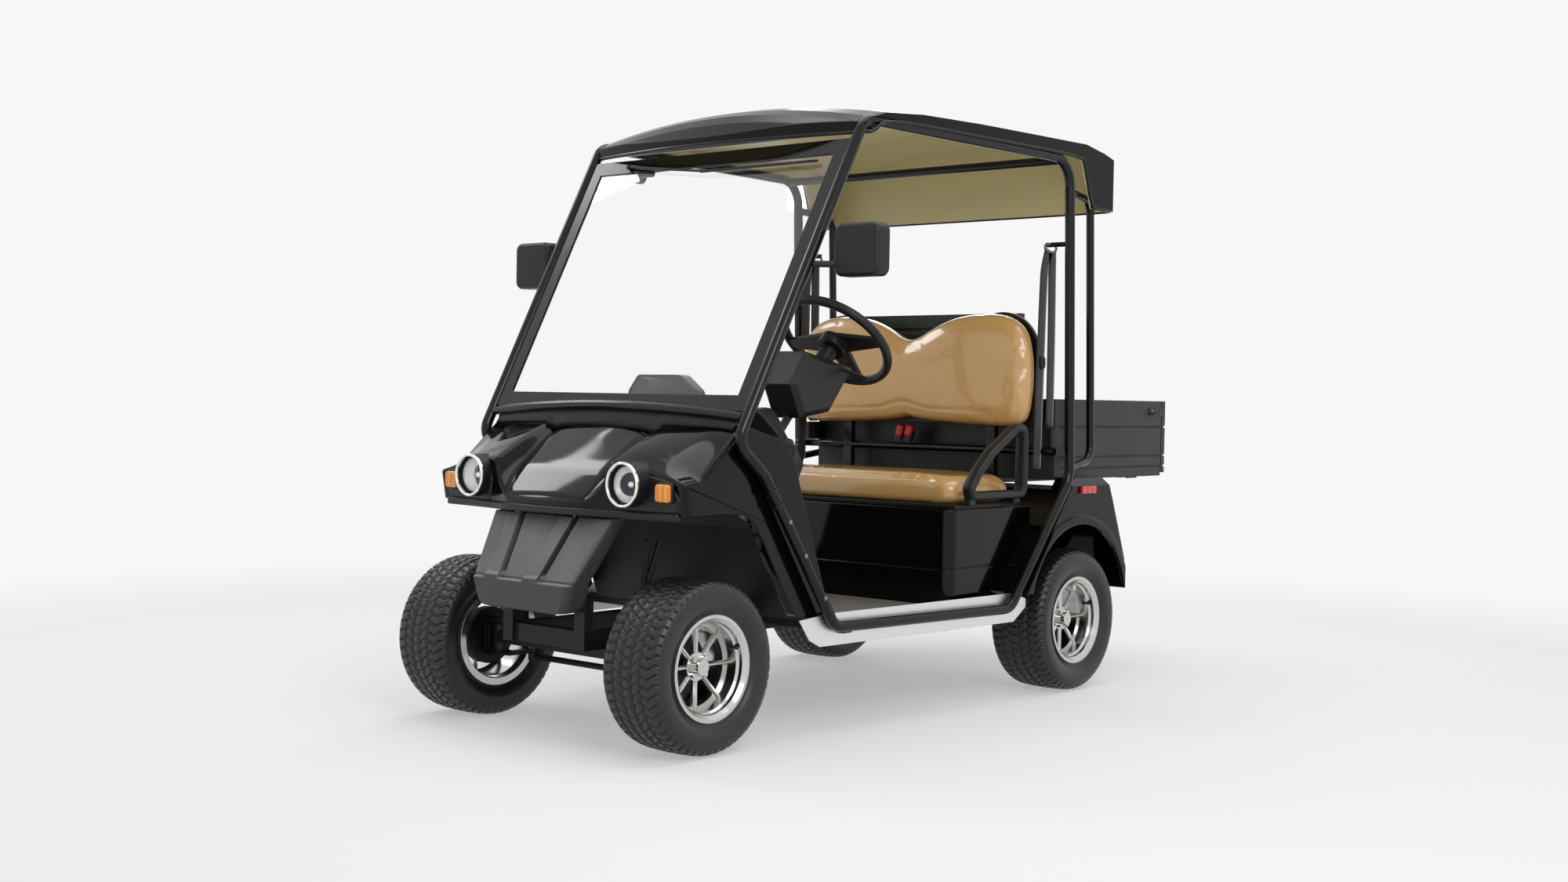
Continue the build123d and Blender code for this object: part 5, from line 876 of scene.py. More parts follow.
def make_cowl():
    grid = cowl_surface()
    rows, columns = grid.shape[:2]
    faces = grid_faces(rows, columns, False, False)
    middles = grid.reshape(-1, 3)[faces].mean(1)
    bored = np.zeros(len(faces), bool)
    for side in (-1, 1):
        reach = np.hypot(middles[:, 0] - side * LAMP_X, middles[:, 2] - LAMP_Z)
        bored |= (reach < 0.054) & (middles[:, 1] < LAMP_FRONT_Y + 0.14)
    skin = mesh_piece("cowl_skin", grid, faces[~bored].tolist(), facing=(0, -0.4, 1))
    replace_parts(thickened(skin, 0.005), "front_cowl")
    dress(skin, "body_black")
    for side, word in SIDES:
        edge = grid[-1 if side > 0 else 0][:, 1:]
        cheek = side_cheek(f"cowl_side_{word}", edge, side * (COWL_HALF - 0.029), side * COWL_HALF)
        dress(cheek, "body_black")


def make_lip():
    """The folded flange under the nose: a rounded bar carried along the cowl's lip."""
    places = np.linspace(-0.462, 0.462, 121)
    lip = cowl_lines(places)[:, 0]
    path = np.stack([places, lip[:, 0] + 0.004, np.full(len(places), COWL_LIP_Z)], -1)
    dress(carried("nose_flange", path, rounded_profile(0.013, 0.011, 4.0)), "cabin_plastic")


def panel_outline():
    """Half outlines of the hood panel in plan, joined: a straight front, sides that open to the rear, a bowed
    rear edge and round corners."""
    front, rear = FRONT_AXLE_Y - 0.131, FRONT_AXLE_Y + 0.062
    bow = np.linspace(-1, 1, 15)
    back = np.stack([-bow * 0.206, rear + 0.018 * (1 - bow ** 2)], -1)
    points = np.concatenate([[(0.0, front), (0.158, front)], back, [(-0.158, front), (0.0, front)]])
    return corners_eased(points, 0.045, 3)[:-1]


def make_hood():
    """Rings of the panel's outline drawn in to its middle: the height is the cowl's own, raised by 5.5 mm and
    rolled over a quarter ellipse at the rim."""
    outline = panel_outline()
    centre = np.array([0.0, FRONT_AXLE_Y - 0.03])
    rolled = 0.94 + 0.06 * np.sin(np.linspace(0, math.pi / 2, 10)[1:])
    share = np.concatenate([np.linspace(0.02, 0.94, 40), rolled])
    plan = centre + share[:, None, None] * (outline[None] - centre)
    rim = np.clip((share - 0.94) / 0.06, 0, 1)
    lift = 0.0055 * np.sqrt(1 - rim ** 2)
    height = cowl_height(plan[..., 0], plan[..., 1]) + lift[:, None]
    plan = np.concatenate([plan, plan[-1:]])
    height = np.concatenate([height, height[-1:] - 0.004])
    points = np.concatenate([plan, height[..., None]], -1)
    faces = grid_faces(*points.shape[:2], False, True).tolist() + [list(range(points.shape[1]))]
    panel = mesh_piece("hood_skin", points, faces, facing=(0, -0.3, 1))
    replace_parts(panel, "hood_panel")
    dress(panel, "body_black")


def make_pods():
    """The satin plate round each indicator: it stands 3 mm proud of the pod's face, between the lip and the
    brow. Point = lip + share * (nose - lip), with both sides drawn in to round corners."""
    plan = np.array([(0.252, 0.06), (0.455, 0.06), (0.476, 0.5), (0.44, 0.93), (0.262, 0.93), (0.243, 0.5),
                     (0.252, 0.06)])
    across = corners_eased(plan, 0.05, 3)[:-1]
    share = np.array([0.0, 0.5, 0.9, 0.965, 1.0, 1.0])
    proud = np.array([0.003, 0.003, 0.003, 0.0024, 0.0, -0.004])
    centre = np.array([0.36, 0.5])
    flat = centre + share[:, None, None] * (across[None] - centre)
    x = flat[..., 0]
    lip, nose = (np.stack([np.interp(x, COWL_PLACES, COWL_POINTS[:, line, k]) for k in (0, 1)], -1)
                 for line in (0, 1))
    place = lip + flat[..., 1:] * (nose - lip)
    faces = grid_faces(*x.shape, False, True).tolist()
    for side, word in SIDES:
        points = np.stack([side * x, place[..., 0] - proud[:, None], place[..., 1]], -1)
        dress(mesh_piece(f"lamp_pod_plate_{word}", points, faces, facing=(0, -1, 0)), "cabin_plastic")


def make_lamps():
    """Behind each lens a bright bowl, radius = mouth * sqrt(1 - depth share), with a capped bulb."""
    share = np.linspace(0, 0.97, 20)
    radius = LAMP_MOUTH_R * np.sqrt(1 - share)
    inner = np.stack([share * LAMP_BOWL_DEPTH, radius], -1)
    outer = np.stack([share[::-1] * LAMP_BOWL_DEPTH + 0.0008, radius[::-1] + 0.0005], -1)
    bowl = np.concatenate([[(-0.0006, 0.0515)], inner, outer[:-1], [(-0.0002, 0.0466), (-0.0002, 0.0515)]])
    bulb = [(0.008, 0.0), (0.0085, 0.004), (0.011, 0.0072), (0.014, 0.0085), (0.018, 0.0085), (0.02, 0.007),
            (0.0255, 0.007), (0.0255, 0.0)]
    for side, word in SIDES:
        mouth = (side * LAMP_X, LAMP_FRONT_Y + 0.0145, LAMP_Z)
        shade = turned(f"lamp_bowl_{word}", bowl, mouth, (0, 1, 0), 64, closed=True)
        dress(shade, "lamp_reflector")
        dress(turned(f"lamp_bulb_{word}", bulb, mouth, (0, 1, 0), 32), "chrome_ring")


make_cowl()
make_lip()
make_hood()
make_pods()
make_lamps()


# Bolts, valves, belts, buckles, dash, apron and trims

HEAD_PROFILE = np.array([(0.0, 1.0), (0.32, 1.0), (0.6, 0.82), (0.78, 0.5), (0.8, 0.38), (0.35, 0.34),
                         (0.35, 0.0)])
LATCH_Z = 0.905
VALVE_R, VALVE_ANGLE = 0.1145, math.radians(22.5)
BELT_X, BELT_Y = 0.5, FRONT_AXLE_Y + 1.576
BELT_WIDTH, BELT_THICKNESS = 0.042, 0.0024
GUIDE_Z = 1.43
BUCKLE_Y, BUCKLE_Z = FRONT_AXLE_Y + 1.5445, 0.81
DASH_HALF, DASH_FRONT = 0.4645, 0.3315
APRON_TOP_Z, APRON_FOOT_Z, SLOT_FOOT_Z = 0.604, 0.352, 0.446
APRON_EDGE_R = 0.014
MAT_FOOT_Z, MAT_PITCH = 0.3102, 0.014
ARMREST_X = 0.524


def bolt_head(place, axis, radius, height):
    """A button head with a socket: its profile, scaled to radius and height, turned about the axis."""
    return turned("head", HEAD_PROFILE * [height, radius], place, axis, 20)


def bolts(name, places, axis, radius, height):
    heads = [bolt_head(place, axis, radius, height) for place in places]
    return dress(joined(name, heads), "screw_zinc")


def hoop_place(y, z, out=0.0, side=1):
    """The side hoop's centre at y behind the front axle and height z, moved out from it: the hoops stand a
    little wider towards the rear."""
    return np.array([side * (0.512 + 0.038 * y + out), FRONT_AXLE_Y + y, z])


def make_hoop_fittings():
    """Button bolts on the outside of the front legs, and two clamp bands where they meet the cowl's side."""
    foot, knee = np.array([0.472, 0.3]), np.array([0.18, 0.728])
    section = [(-0.007, 0.0161), (-0.006, 0.0185), (0.006, 0.0185), (0.007, 0.0161)]
    for side, word in SIDES:
        places = [hoop_place(*(knee + (foot - knee) * share), out=0.0152, side=side)
                  for share in (0.3, 0.52, 0.8)]
        bolts(f"leg_bolts_{word}", places, (side, 0, 0), 0.0068, 0.005)
        run = hoop_place(*foot, side=side) - hoop_place(*knee, side=side)
        bands = []
        for share in (0.1, 0.19):
            centre = hoop_place(*(knee + (foot - knee) * share), side=side)
            bands.append(turned("band", section, centre, run, 40, closed=True))
        dress(joined(f"leg_clamps_{word}", bands), "tube_black")


def make_box_fittings():
    """On each side of the cargo box, at its rear corner, three bolts and an oval latch bar over them."""
    for side, word in SIDES:
        places = [(side * 0.5048, FRONT_AXLE_Y + y, LATCH_Z) for y in (2.228, 2.256, 2.284)]
        bolts(f"latch_bolts_{word}", places, (side, 0, 0), 0.0075, 0.0045)
    bars = []
    for side in (-1, 1):
        path = [(side * 0.5075, FRONT_AXLE_Y + y, LATCH_Z + rise) for y, rise in
                ((2.222, -0.004), (2.236, -0.002), (2.262, 0.0), (2.288, 0.001))]
        bars.append(carried("bar", path, ring_profile(1.0, 10) * [0.003, 0.006]))
    dress(joined("latch_bars", bars), "frame_steel")


def make_valves():
    """A tapered valve with a wider cap near the rim's edge of every wheel, clear of the spokes."""
    stem = [(0.0, 0.0055), (0.006, 0.005), (0.016, 0.0035), (0.022, 0.0034), (0.022, 0.0045), (0.03, 0.0045),
            (0.031, 0.0035)]
    rise, ahead = VALVE_R * math.sin(VALVE_ANGLE), VALVE_R * math.cos(VALVE_ANGLE)
    for end, x, y in AXLES:
        for side, word in SIDES:
            base = np.array([side * (x + 0.046), y + ahead, AXLE_Z + rise])
            piece = turned(f"valve_{end}_{word}", stem, base, (side, 0, 0), 20)
            dress(piece, "cabin_plastic", f"wheel_{end}_{word}")


def strap(name, path, width, thickness, across):
    """A flat strap: a thin rectangle carried along the path, its width along the direction across."""
    path = np.asarray(path, float)
    across = np.asarray(across, float)
    run = np.gradient(path, axis=0)
    run /= np.linalg.norm(run, axis=1)[:, None]
    side = across[None] - run * (run @ across)[:, None]
    side /= np.linalg.norm(side, axis=1)[:, None]
    face = np.cross(side, run)
    edge = np.array([-0.5, -0.25, 0.25, 0.5])
    profile = np.concatenate([[(x, -0.5) for x in edge], [(x, 0.5) for x in edge[::-1]]]) * [width, thickness]
    points = path[:, None] + side[:, None] * profile[None, :, :1] + face[:, None] * profile[None, :, 1:]
    return surface(name, points)


def eased_path(points, steps):
    """A smooth path through a few points: cubic curves without overshoot, by the share of the length."""
    points = np.asarray(points, float)
    length = lengths_along(points)
    return smooth_between(length / length[-1], points, np.linspace(0, 1, steps))


def make_belts():
    """On each side a strap from the reel up to a guide on the hoop, and one from there down in front of it to
    an anchor beside the seat, with its tongue."""
    t = full_turn(28)
    for side, word in SIDES:
        x = side * BELT_X
        inner = x - side * 0.002
        rise = [(x, BELT_Y + 0.004, 0.852), (x, BELT_Y + 0.004, 1.1), (x, BELT_Y, 1.42)]
        fall = [(x, BELT_Y - 0.022, 1.424), (x, BELT_Y - 0.046, 1.34), (inner, BELT_Y - 0.052, 1.1),
                (inner, BELT_Y - 0.062, 0.72)]
        pieces = [strap("part", eased_path(line, steps), BELT_WIDTH, BELT_THICKNESS, (0, 1.0, 0))
                  for line, steps in ((rise, 30), (fall, 40))]
        straps = joined(f"belt_straps_{word}", pieces)
        if side > 0:
            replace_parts(straps, "belt_webbing")
        dress(straps, "belt_black")
        loop = np.stack([x - side * 0.004 * np.cos(t), BELT_Y - 0.011 + 0.04 * np.cos(t),
                         GUIDE_Z + 0.013 * np.sin(t)], -1)
        guide = carried(f"belt_guide_{word}", loop, ring_profile(0.004, 8), closed=True)
        dress(guide, "screw_zinc")
        tongue = lump(f"belt_tongue_{word}", (inner, BELT_Y - 0.0515, 1.06), (0.014, 0.012, 0.02))
        dress(tongue, "cabin_plastic")


def lump(name, centre, half, power=4.0, lean=0.0, rows=14, count=28):
    """A box with well rounded edges: |x|^power and |y|^power sum to 1 at the waist, and the waist shrinks
    towards both ends by the same rule. It is leaned about X."""
    v = np.linspace(-math.pi / 2, math.pi / 2, rows)[:, None]
    u = full_turn(count)[None]
    waist, height = signed_power(np.cos(v), 2 / power), signed_power(np.sin(v), 2 / power)
    x = waist * signed_power(np.cos(u), 2 / power) * half[0]
    y = waist * signed_power(np.sin(u), 2 / power) * half[1]
    z = height * np.ones_like(u) * half[2]
    points = np.stack([centre[0] + x, centre[1] + y * math.cos(lean) - z * math.sin(lean),
                       centre[2] + y * math.sin(lean) + z * math.cos(lean)], -1)
    return surface(name, points)


def make_buckles():
    """Two belt buckles on short stalks that lean out from the cross bar: dark casings with large red
    buttons."""
    casings, buttons = [], []
    for x in (-0.082, -0.042):
        casing = lump("casing", (x, BUCKLE_Y, BUCKLE_Z), (0.0165, 0.009, 0.028), 5.0)
        button = lump("button", (x, BUCKLE_Y - 0.004, BUCKLE_Z + 0.02), (0.0145, 0.01, 0.021), 5.0)
        for piece in (casing, button):
            tipped(piece, 0.3, "Y", (x, 0, BUCKLE_Z))
        stalk = [(x - 0.004, BUCKLE_Y, 0.795), (x * 0.7, BUCKLE_Y, 0.782), (x * 0.4, BUCKLE_Y, 0.764)]
        casings += [casing, carried("stalk", eased_path(stalk, 12), ring_profile(0.0065))]
        buttons.append(button)
    casing = joined("buckle_casings", casings)
    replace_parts(casing, "belt_buckles")
    dress(casing, "cabin_plastic")
    dress(joined("buckle_buttons", buttons), "buckle_red")


def make_roof_bead():
    """A round bead along the roof's lower edge: up from the low front lip, along the sides, down round the
    rear."""
    half = np.array([(0.0, 0.462, 1.674), (0.18, 0.47, 1.674), (0.36, 0.4957, 1.674), (0.5, 0.527, 1.674),
                     (0.546, 0.54, 1.676), (0.5495, 0.57, 1.678), (0.5505, 0.59, 1.69), (0.552, 0.63, 1.722),
                     (0.57, 1.115, 1.722), (0.589, 1.6, 1.722), (0.5905, 1.615, 1.7), (0.592, 1.655, 1.572),
                     (0.594, 1.68, 1.56), (0.597, 1.762, 1.56), (0.585, 1.778, 1.56), (0.3, 1.78, 1.56),
                     (0.0, 1.78, 1.56)])
    loop = np.concatenate([half, half[-2:0:-1] * [-1, 1, 1]]) + [0, FRONT_AXLE_Y, 0]
    bead = carried("roof_edge_bead", cut_corners(loop, closed=True), ring_profile(0.0055, 10), closed=True)
    dress(bead, "tube_black")


def make_dash():
    """The dash: its (y, z) section carried across, lower and drawn in towards both ends."""
    places = np.linspace(-DASH_HALF, DASH_HALF, 61)
    ends = smooth_step(0.33, DASH_HALF, np.abs(places))
    rear, top = 0.455 - 0.052 * ends, 0.905 - 0.085 * ends
    front, foot = np.full(len(places), DASH_FRONT), np.full(len(places), 0.6405)
    corners = [(front, foot), (rear - 0.06, foot), (rear, top - 0.07), (rear - 0.05, top), (front, top),
               (front, foot)]
    sections = np.stack([np.stack(corner, -1) for corner in corners], 1)
    sections = corners_eased(sections, 0.018, 3)[:, :-1]
    across = np.broadcast_to(places[:, None, None], (*sections.shape[:2], 1))
    body = surface("dash_moulding", np.concatenate([across, sections + [FRONT_AXLE_Y, 0]], -1))
    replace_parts(body, "dash")
    dress(body, "cabin_plastic")


def make_instrument_hood():
    """The hood on top of the dash: its outline drawn in to its middle by a share at every depth, with a rim
    round a sunk face in front."""
    corners = np.array([(-0.165, 0.89), (0.121, 0.89), (0.1, 0.948), (0.036, 0.993), (-0.125, 0.993),
                        (-0.165, 0.945), (-0.165, 0.89)])
    outline = corners_eased(corners, 0.016, 3)[:-1]
    share, depth = np.array([(0.93, 0.385), (1.0, 0.385), (1.0, 0.345), (0.985, 0.335), (0.95, DASH_FRONT),
                             (0.94, 0.3365), (0.88, 0.3375), (0.87, DASH_FRONT)]).T
    middle = np.array([-0.022, 0.935])
    flat = middle + share[:, None, None] * (outline[None] - middle)
    y = np.broadcast_to(FRONT_AXLE_Y + depth[:, None], flat.shape[:2])
    dress(surface("instrument_hood", np.stack([flat[..., 0], y, flat[..., 1]], -1)), "cabin_plastic")


def slot_centre(z):
    """How far from the middle each slot of the apron stands at height z: they spread towards the top."""
    return 0.080 + 0.028 * np.clip((z - SLOT_FOOT_Z) / (APRON_TOP_Z - SLOT_FOOT_Z), -0.2, 1.1)


def apron_relief(x, z):
    """How far the apron stands proud at (x, z): 24 mm deep slots that close towards the foot, a 10 mm rib
    beside each, and a 15 mm proud bumper below a stepped edge that is 13 mm higher at the ribs."""
    relief = np.zeros_like(x)
    edge = np.full_like(x, 0.432)
    for side in (-1, 1):
        off = x - side * slot_centre(z)
        slot = (1 - smooth_step(0.0055, 0.0075, np.abs(off))) * smooth_step(SLOT_FOOT_Z, 0.452, z)
        rib = smooth_step(-0.062, -0.058, off) * (1 - smooth_step(-0.0085, -0.0065, off))
        relief += 0.010 * rib - 0.024 * slot
        edge += 0.013 * rib
    bumper = 1 - smooth_step(-0.0015, 0.0015, z - edge)
    return relief * (1 - bumper) + 0.015 * bumper


def apron_places(half, centre):
    """The places across at every height: columns that run along the sides, the slots and the ribs' edges, and
    lie closest round those. Place = the six lines' places, mixed by each column's share between two lines."""
    spans = [(-1, -0.9, 10), (-0.9, -0.71, 12), (-0.71, -0.69, 8), (-0.69, -0.5, 12), (-0.5, -0.4, 36),
             (-0.4, 0.19, 24), (0.19, 0.21, 8), (0.21, 0.4, 12), (0.4, 0.5, 36), (0.5, 0.9, 14),
             (0.9, 1.0, 10)]
    shares = [np.linspace(low, high, count, endpoint=False) for low, high, count in spans]
    shares = np.concatenate(shares + [[1.0]])
    knots = [-1, -0.7, -0.45, 0.2, 0.45, 1]
    mix = np.stack([np.interp(shares, knots, weights) for weights in np.eye(6)])
    lines = np.stack([-half, -centre - 0.06, -centre, centre - 0.06, centre, half], -1)
    return lines @ mix


def make_apron():
    """The moulded apron between the front wheels: half-width and depth follow its three main heights; towards
    each side it sweeps back over a quarter circle, and the foot's corners are round."""
    heights = np.linspace(APRON_TOP_Z, APRON_FOOT_Z, 130)
    mains = [APRON_FOOT_Z, 0.439, APRON_TOP_Z]
    half = np.interp(heights, mains, [0.172, 0.201, 0.238])
    corner = np.clip((0.03 - (heights - APRON_FOOT_Z)) / 0.03, 0, 1)
    half -= 0.03 * (1 - np.sqrt(1 - corner ** 2)) * 0.9
    depth = np.interp(heights, mains, [-0.205, -0.2085, -0.108])
    x = apron_places(half, slot_centre(heights))
    z = np.broadcast_to(heights[:, None], x.shape)
    inset = half[:, None] - np.abs(x)
    back = np.clip((APRON_EDGE_R - inset) / APRON_EDGE_R, 0, 1)
    sweep = APRON_EDGE_R * (1 - np.sqrt(np.maximum(0, 1 - (0.97 * back) ** 2)))
    foot = 0.010 * np.clip((0.36 - z) / 0.008, 0, 1) ** 2
    y = FRONT_AXLE_Y + depth[:, None] - apron_relief(x, z) * (1 - back) + sweep + foot
    front = np.stack([x, y, z], -1)
    sides = []
    for column, step in ((0, -1), (-1, 1)):
        edge = front[:, column]
        run = edge[:, None] + np.array([0.0, 1.0, 0.0]) * np.array([0.014, 0.036, 0.060])[None, :, None]
        run[..., 0] -= step * np.array([0.001, 0.004, 0.009])
        sides.append(run)
    grid = np.concatenate([sides[0][:, ::-1], front, sides[1]], 1)
    skin = mesh_piece("apron_moulding", grid, grid_faces(*grid.shape[:2]).tolist(), facing=(0, -1, 0))
    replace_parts(thickened(skin, 0.005), "bumper_apron")
    dress(skin, "apron_grey")


def make_screen_seal():
    """The rubber upstand that closes the cowl against the bowed rail below the windshield: its section runs
    from the cowl's own surface up into the rail at every place across."""
    places = np.linspace(-0.476, 0.476, 101)
    bow = 1 - (places / 0.5) ** 2
    rail_y, rail_z = FRONT_AXLE_Y + 0.1116 - 0.025 * bow, 0.879 + 0.025 * bow
    low = cowl_height(places, rail_y) - 0.006
    top = rail_z - 0.006
    columns = [(rail_y - 0.016, low), (rail_y - 0.006, low + 0.35 * (rail_z - low)), (rail_y - 0.004, top),
               (rail_y + 0.006, top), (rail_y + 0.008, low)]
    points = np.stack([np.stack([places, y, z], -1) for y, z in columns], 1)
    dress(surface("screen_seal", points), "cabin_plastic")


def make_floor_mat():
    """The mat on the floor: a grid whose height is 3 mm of rounded ribs, the square root of a sine across the
    mat, with its front and rear edges turned down to the floor."""
    x = np.linspace(-0.462, 0.462, 924)
    ribs = np.sqrt(np.clip(np.sin(2 * math.pi * x / MAT_PITCH), 0, 1))
    height = MAT_FOOT_Z + 0.001 + 0.003 * ribs
    y = FRONT_AXLE_Y + np.array([0.522, 0.522, 0.525, 1.028, 1.031, 1.031])
    level = np.array([0.0, 0.7, 1.0, 1.0, 0.7, 0.0])
    z = MAT_FOOT_Z + (height[:, None] - MAT_FOOT_Z) * level[None]
    points = np.stack(np.broadcast_arrays(x[:, None], y[None], z), -1)
    skin = mesh_piece("floor_mat", points, grid_faces(*points.shape[:2]).tolist(), facing=(0, 0, 1))
    dress(skin, "floor_mat")


def looped(name, path, profile, across):
    """A profile carried round a closed flat path:
    point = path + across * profile x + (across x run) * profile y."""
    run = np.roll(path, -1, 0) - np.roll(path, 1, 0)
    run /= np.linalg.norm(run, axis=1)[:, None]
    across = np.asarray(across, float)
    face = np.cross(across[None], run)
    points = path[:, None] + across * profile[None, :, :1] + face[:, None] * profile[None, :, 1:]
    return surface(name, points, around_rows=True)


def make_armrests():
    """Each armrest: one padded loop with a rounded section, carried round its outline, on two small feet."""
    line = np.array([(1.24, 0.645), (1.114, 0.645), (1.105, 0.668), (1.146, 0.718), (1.212, 0.774),
                     (1.348, 0.852), (1.378, 0.85), (1.389, 0.821), (1.387, 0.662), (1.376, 0.645),
                     (1.24, 0.645)])
    line = corners_eased(line, 0.03, 3)[:-1]
    pieces = []
    for side in (-1, 1):
        path = np.stack([np.full(len(line), side * ARMREST_X), FRONT_AXLE_Y + line[:, 0], line[:, 1]], -1)
        pieces.append(looped("loop", path, rounded_profile(0.021, 0.0135), (1.0, 0, 0)))
        for y in (1.122, 1.362):
            foot = (side * (ARMREST_X - 0.009), FRONT_AXLE_Y + y, 0.628)
            pieces.append(lump("foot", foot, (0.014, 0.016, 0.014), 6.0))
    arms = joined("armrest_loops", pieces)
    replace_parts(arms, "armrests")
    dress(arms, "cabin_plastic")


def make_indicators():
    """The amber lenses: blocks with well rounded edges, each in a dark frame carried round it."""
    lenses = []
    for side, word in SIDES:
        centre = (side * INDICATOR_X, INDICATOR_FRONT_Y + 0.016, INDICATOR_Z)
        lenses.append(lump("lens", centre, (0.027, 0.018, 0.0235), 6.0, rows=24, count=44))
        loop = rounded_profile(0.0285, 0.025, 6.0, 48)
        level = np.full(len(loop), centre[1] - 0.003)
        path = np.stack([centre[0] + loop[:, 0], level, centre[2] + loop[:, 1]], -1)
        dress(looped(f"indicator_frame_{word}", path, rounded_profile(0.006, 0.0025, 3.0, 16), (0, 1.0, 0)),
              "cabin_plastic")
    both = joined("indicator_lenses", lenses)
    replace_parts(both, "indicators")
    dress(both, "amber_lens")


def make_cheek_beads():
    """The rolled rear edge of each cowl side: a bead carried along the edge, down to the floor."""
    line = corners_eased(np.concatenate([[(0.3, 0.79)], CHEEK_REAR_EDGE]), 0.04, 3)
    for side, word in SIDES:
        path = np.stack([np.full(len(line), side * 0.4915), FRONT_AXLE_Y + line[:, 0], line[:, 1]], -1)
        dress(carried(f"cowl_edge_bead_{word}", path, ring_profile(0.0055)), "tube_black")


def make_dash_fittings():
    """A round gauge, two rocker switches and a key switch on the dash's sloped rear face."""
    slope = math.pi / 4
    normal = np.array([0.0, math.sin(slope), math.cos(slope)])
    middle = np.array([0.0, FRONT_AXLE_Y + 0.425, 0.875])
    gauge = middle + [0.11, 0, 0]
    bezel = [(0.0, 0.028), (0.006, 0.0275), (0.008, 0.025), (0.004, 0.0235), (0.003, 0.0)]
    dress(turned("gauge", bezel, gauge, normal, 40), "cabin_plastic")
    for number, x in enumerate((0.02, -0.03)):
        place = middle + [x, 0, 0] + normal * 0.002
        dress(lump(f"dash_switch_{number}", place, (0.011, 0.005, 0.02), 5.0, lean=-slope), "cabin_plastic")
    key = [(0.0, 0.014), (0.004, 0.013), (0.006, 0.01), (0.004, 0.007), (0.004, 0.0)]
    dress(turned("key_switch", key, middle + [0.175, 0, 0], normal, 32), "screw_zinc")


def make_wiper_blade():
    """The blade's rubber: a small six-sided profile carried along the blade, just in front of the glass."""
    low_z = 1.596
    y = FRONT_AXLE_Y + 0.076 + 0.48 * (low_z - 0.812) / 0.904 - 0.0155
    path = [(x, y, low_z) for x in np.linspace(-0.02, 0.43, 40)]
    profile = np.array([(-0.0055, -0.0015), (0.0, -0.004), (0.0055, -0.0015), (0.0055, 0.0015), (0.0, 0.004),
                        (-0.0055, 0.0015)])
    dress(carried("wiper_rubber", path, profile), "tube_black")


make_hoop_fittings()
make_box_fittings()
make_valves()
make_belts()
make_buckles()
make_roof_bead()
make_dash()
make_instrument_hood()
make_apron()
make_screen_seal()
make_floor_mat()
make_armrests()
make_indicators()
make_cheek_beads()
make_dash_fittings()
make_wiper_blade()


# Studio: floor, lamps, world and camera

def shown_rays(tree):
    """1 for the rays that the camera sees the backdrop by: straight, in metal and through glass."""
    path = tree.nodes.new("ShaderNodeLightPath")
    shown = math_node(tree, "MAXIMUM", path.outputs["Is Camera Ray"], path.outputs["Is Glossy Ray"])
    return math_node(tree, "MAXIMUM", shown, path.outputs["Is Transmission Ray"])


def make_floor():
    corners = [(-60, -60, 0), (60, -60, 0), (60, 60, 0), (-60, 60, 0)]
    floor = mesh_piece("studio_floor", corners, [(0, 1, 2, 3)], smooth=False)
    material = bpy.data.materials.new("pale_floor")
    material.use_nodes = True
    tree = material.node_tree
    shader = tree.nodes["Principled BSDF"]
    shader.inputs["Base Color"].default_value = (0.8, 0.8, 0.8, 1)
    shader.inputs["Roughness"].default_value = 0.9
    shader.inputs["Specular IOR Level"].default_value = 0.1
    far = tree.nodes.new("ShaderNodeEmission")
    far.inputs["Color"].default_value = (0.93, 0.93, 0.93, 1)
    place = tree.nodes.new("ShaderNodeTexCoord")
    length = tree.nodes.new("ShaderNodeVectorMath")
    length.operation = "LENGTH"
    tree.links.new(place.outputs["Object"], length.inputs[0])
    reach = tree.nodes.new("ShaderNodeMapRange")
    reach.interpolation_type = "SMOOTHSTEP"
    reach.inputs["From Min"].default_value = 1.6
    reach.inputs["From Max"].default_value = 5.0
    tree.links.new(length.outputs["Value"], reach.inputs["Value"])
    seen = shown_rays(tree)
    near = math_node(tree, "MULTIPLY", seen, 0.42)
    share = math_node(tree, "MAXIMUM", near, math_node(tree, "MULTIPLY", reach.outputs["Result"], seen))
    mix = tree.nodes.new("ShaderNodeMixShader")
    tree.links.new(share, mix.inputs["Fac"])
    tree.links.new(shader.outputs["BSDF"], mix.inputs[1])
    tree.links.new(far.outputs["Emission"], mix.inputs[2])
    tree.links.new(mix.outputs["Shader"], tree.nodes["Material Output"].inputs["Surface"])
    floor.data.materials.append(material)


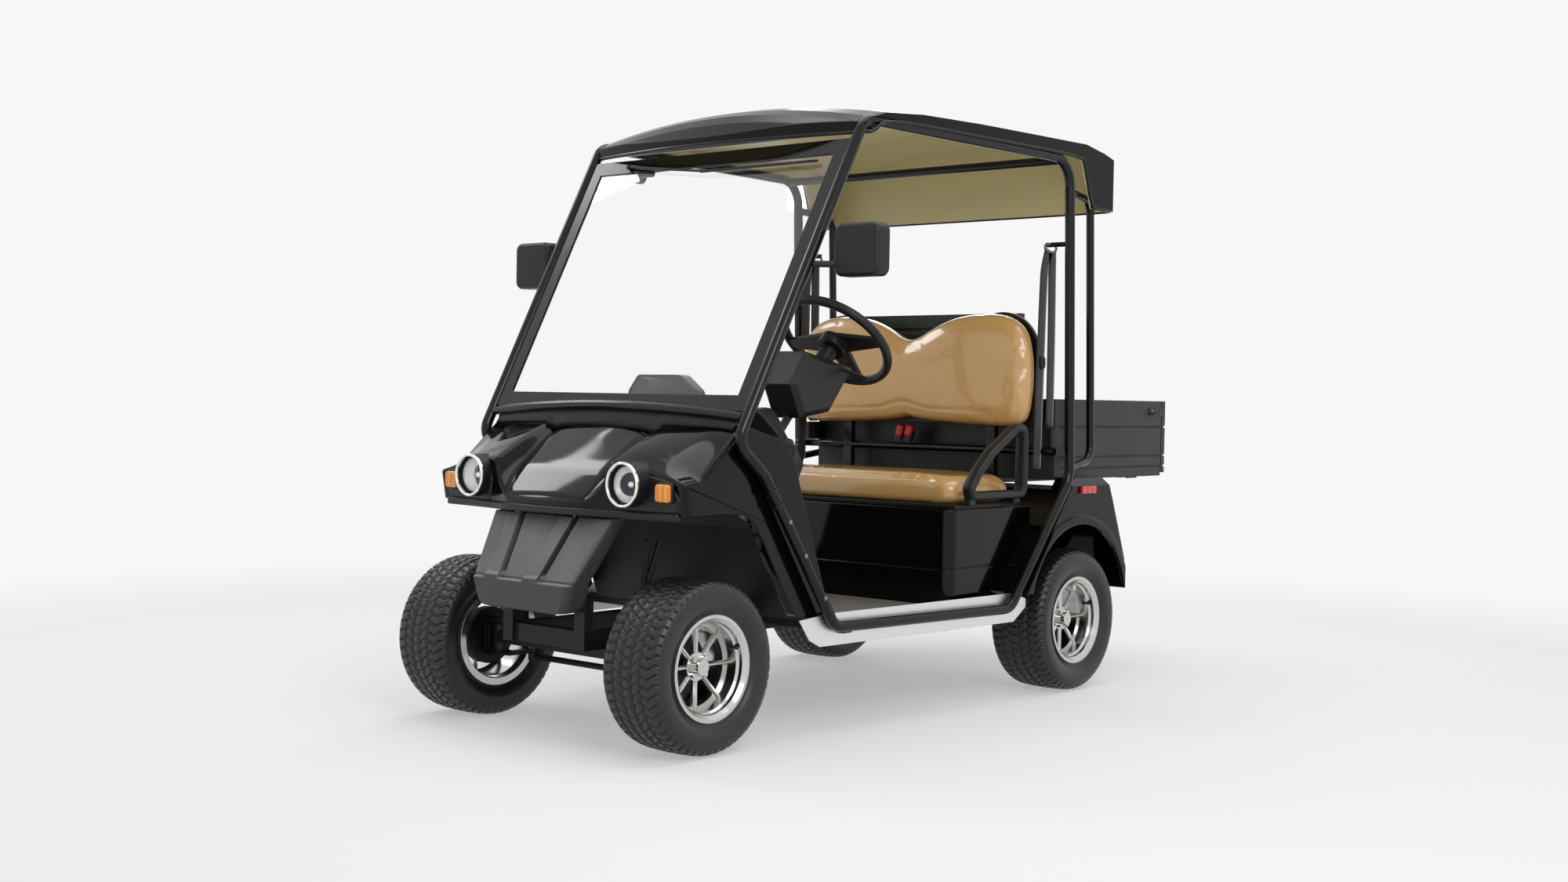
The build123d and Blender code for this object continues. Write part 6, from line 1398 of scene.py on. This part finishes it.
def make_world():
    world = bpy.data.worlds.new("studio")
    bpy.context.scene.world = world
    world.use_nodes = True
    tree = world.node_tree
    level = math_node(tree, "ADD", math_node(tree, "MULTIPLY", shown_rays(tree), 0.38), 0.55)
    background = tree.nodes["Background"]
    background.inputs["Color"].default_value = (1, 1, 1, 1)
    tree.links.new(level, background.inputs["Strength"])


def lamp(name, place, aim, size, power):
    data = bpy.data.lights.new(name, "AREA")
    data.shape = "RECTANGLE"
    data.size, data.size_y = size
    data.energy = power
    piece = bpy.data.objects.new(name, data)
    piece.location = place
    piece.rotation_euler = (Vector(aim) - Vector(place)).to_track_quat("-Z", "Y").to_euler()
    bpy.context.scene.collection.objects.link(piece)


def make_camera():
    yaw, pitch, roll = (math.radians(x) for x in (41.17, 1.38, 1.03))
    ahead = Vector((-math.sin(yaw) * math.cos(pitch), math.cos(yaw) * math.cos(pitch), -math.sin(pitch)))
    right = ahead.cross(Vector((0, 0, 1))).normalized()
    above = right.cross(ahead)
    tipped_right = right * math.cos(roll) + above * math.sin(roll)
    tipped_up = above * math.cos(roll) - right * math.sin(roll)
    data = bpy.data.cameras.new("camera")
    data.sensor_width = 36.0
    data.lens = 2309.8 * 36.0 / 2000
    data.clip_start, data.clip_end = 0.05, 200
    camera = bpy.data.objects.new("camera", data)
    turn = Matrix((tipped_right, tipped_up, -ahead)).transposed()
    camera.matrix_world = Matrix.Translation((3.71, -3.393 + FRONT_AXLE_Y, 0.934)) @ turn.to_4x4()
    bpy.context.scene.collection.objects.link(camera)
    bpy.context.scene.camera = camera


make_floor()
make_world()
lamp("overhead", (0.3, 0.2, 4.6), (0, 0, 0.6), (3.4, 4.2), 95)
lamp("key", (4.2, -2.6, 3.2), (0, -0.2, 0.8), (2.2, 2.2), 75)
lamp("front", (-3.7, -1.22, 3.9), (0, -1.15, 0.7), (1.2, 1.1), 28)
lamp("rear", (-2.6, 4.2, 3.0), (0, 0.4, 1.0), (2.0, 2.0), 40)
make_camera()
bpy.context.scene.view_settings.view_transform = "Standard"
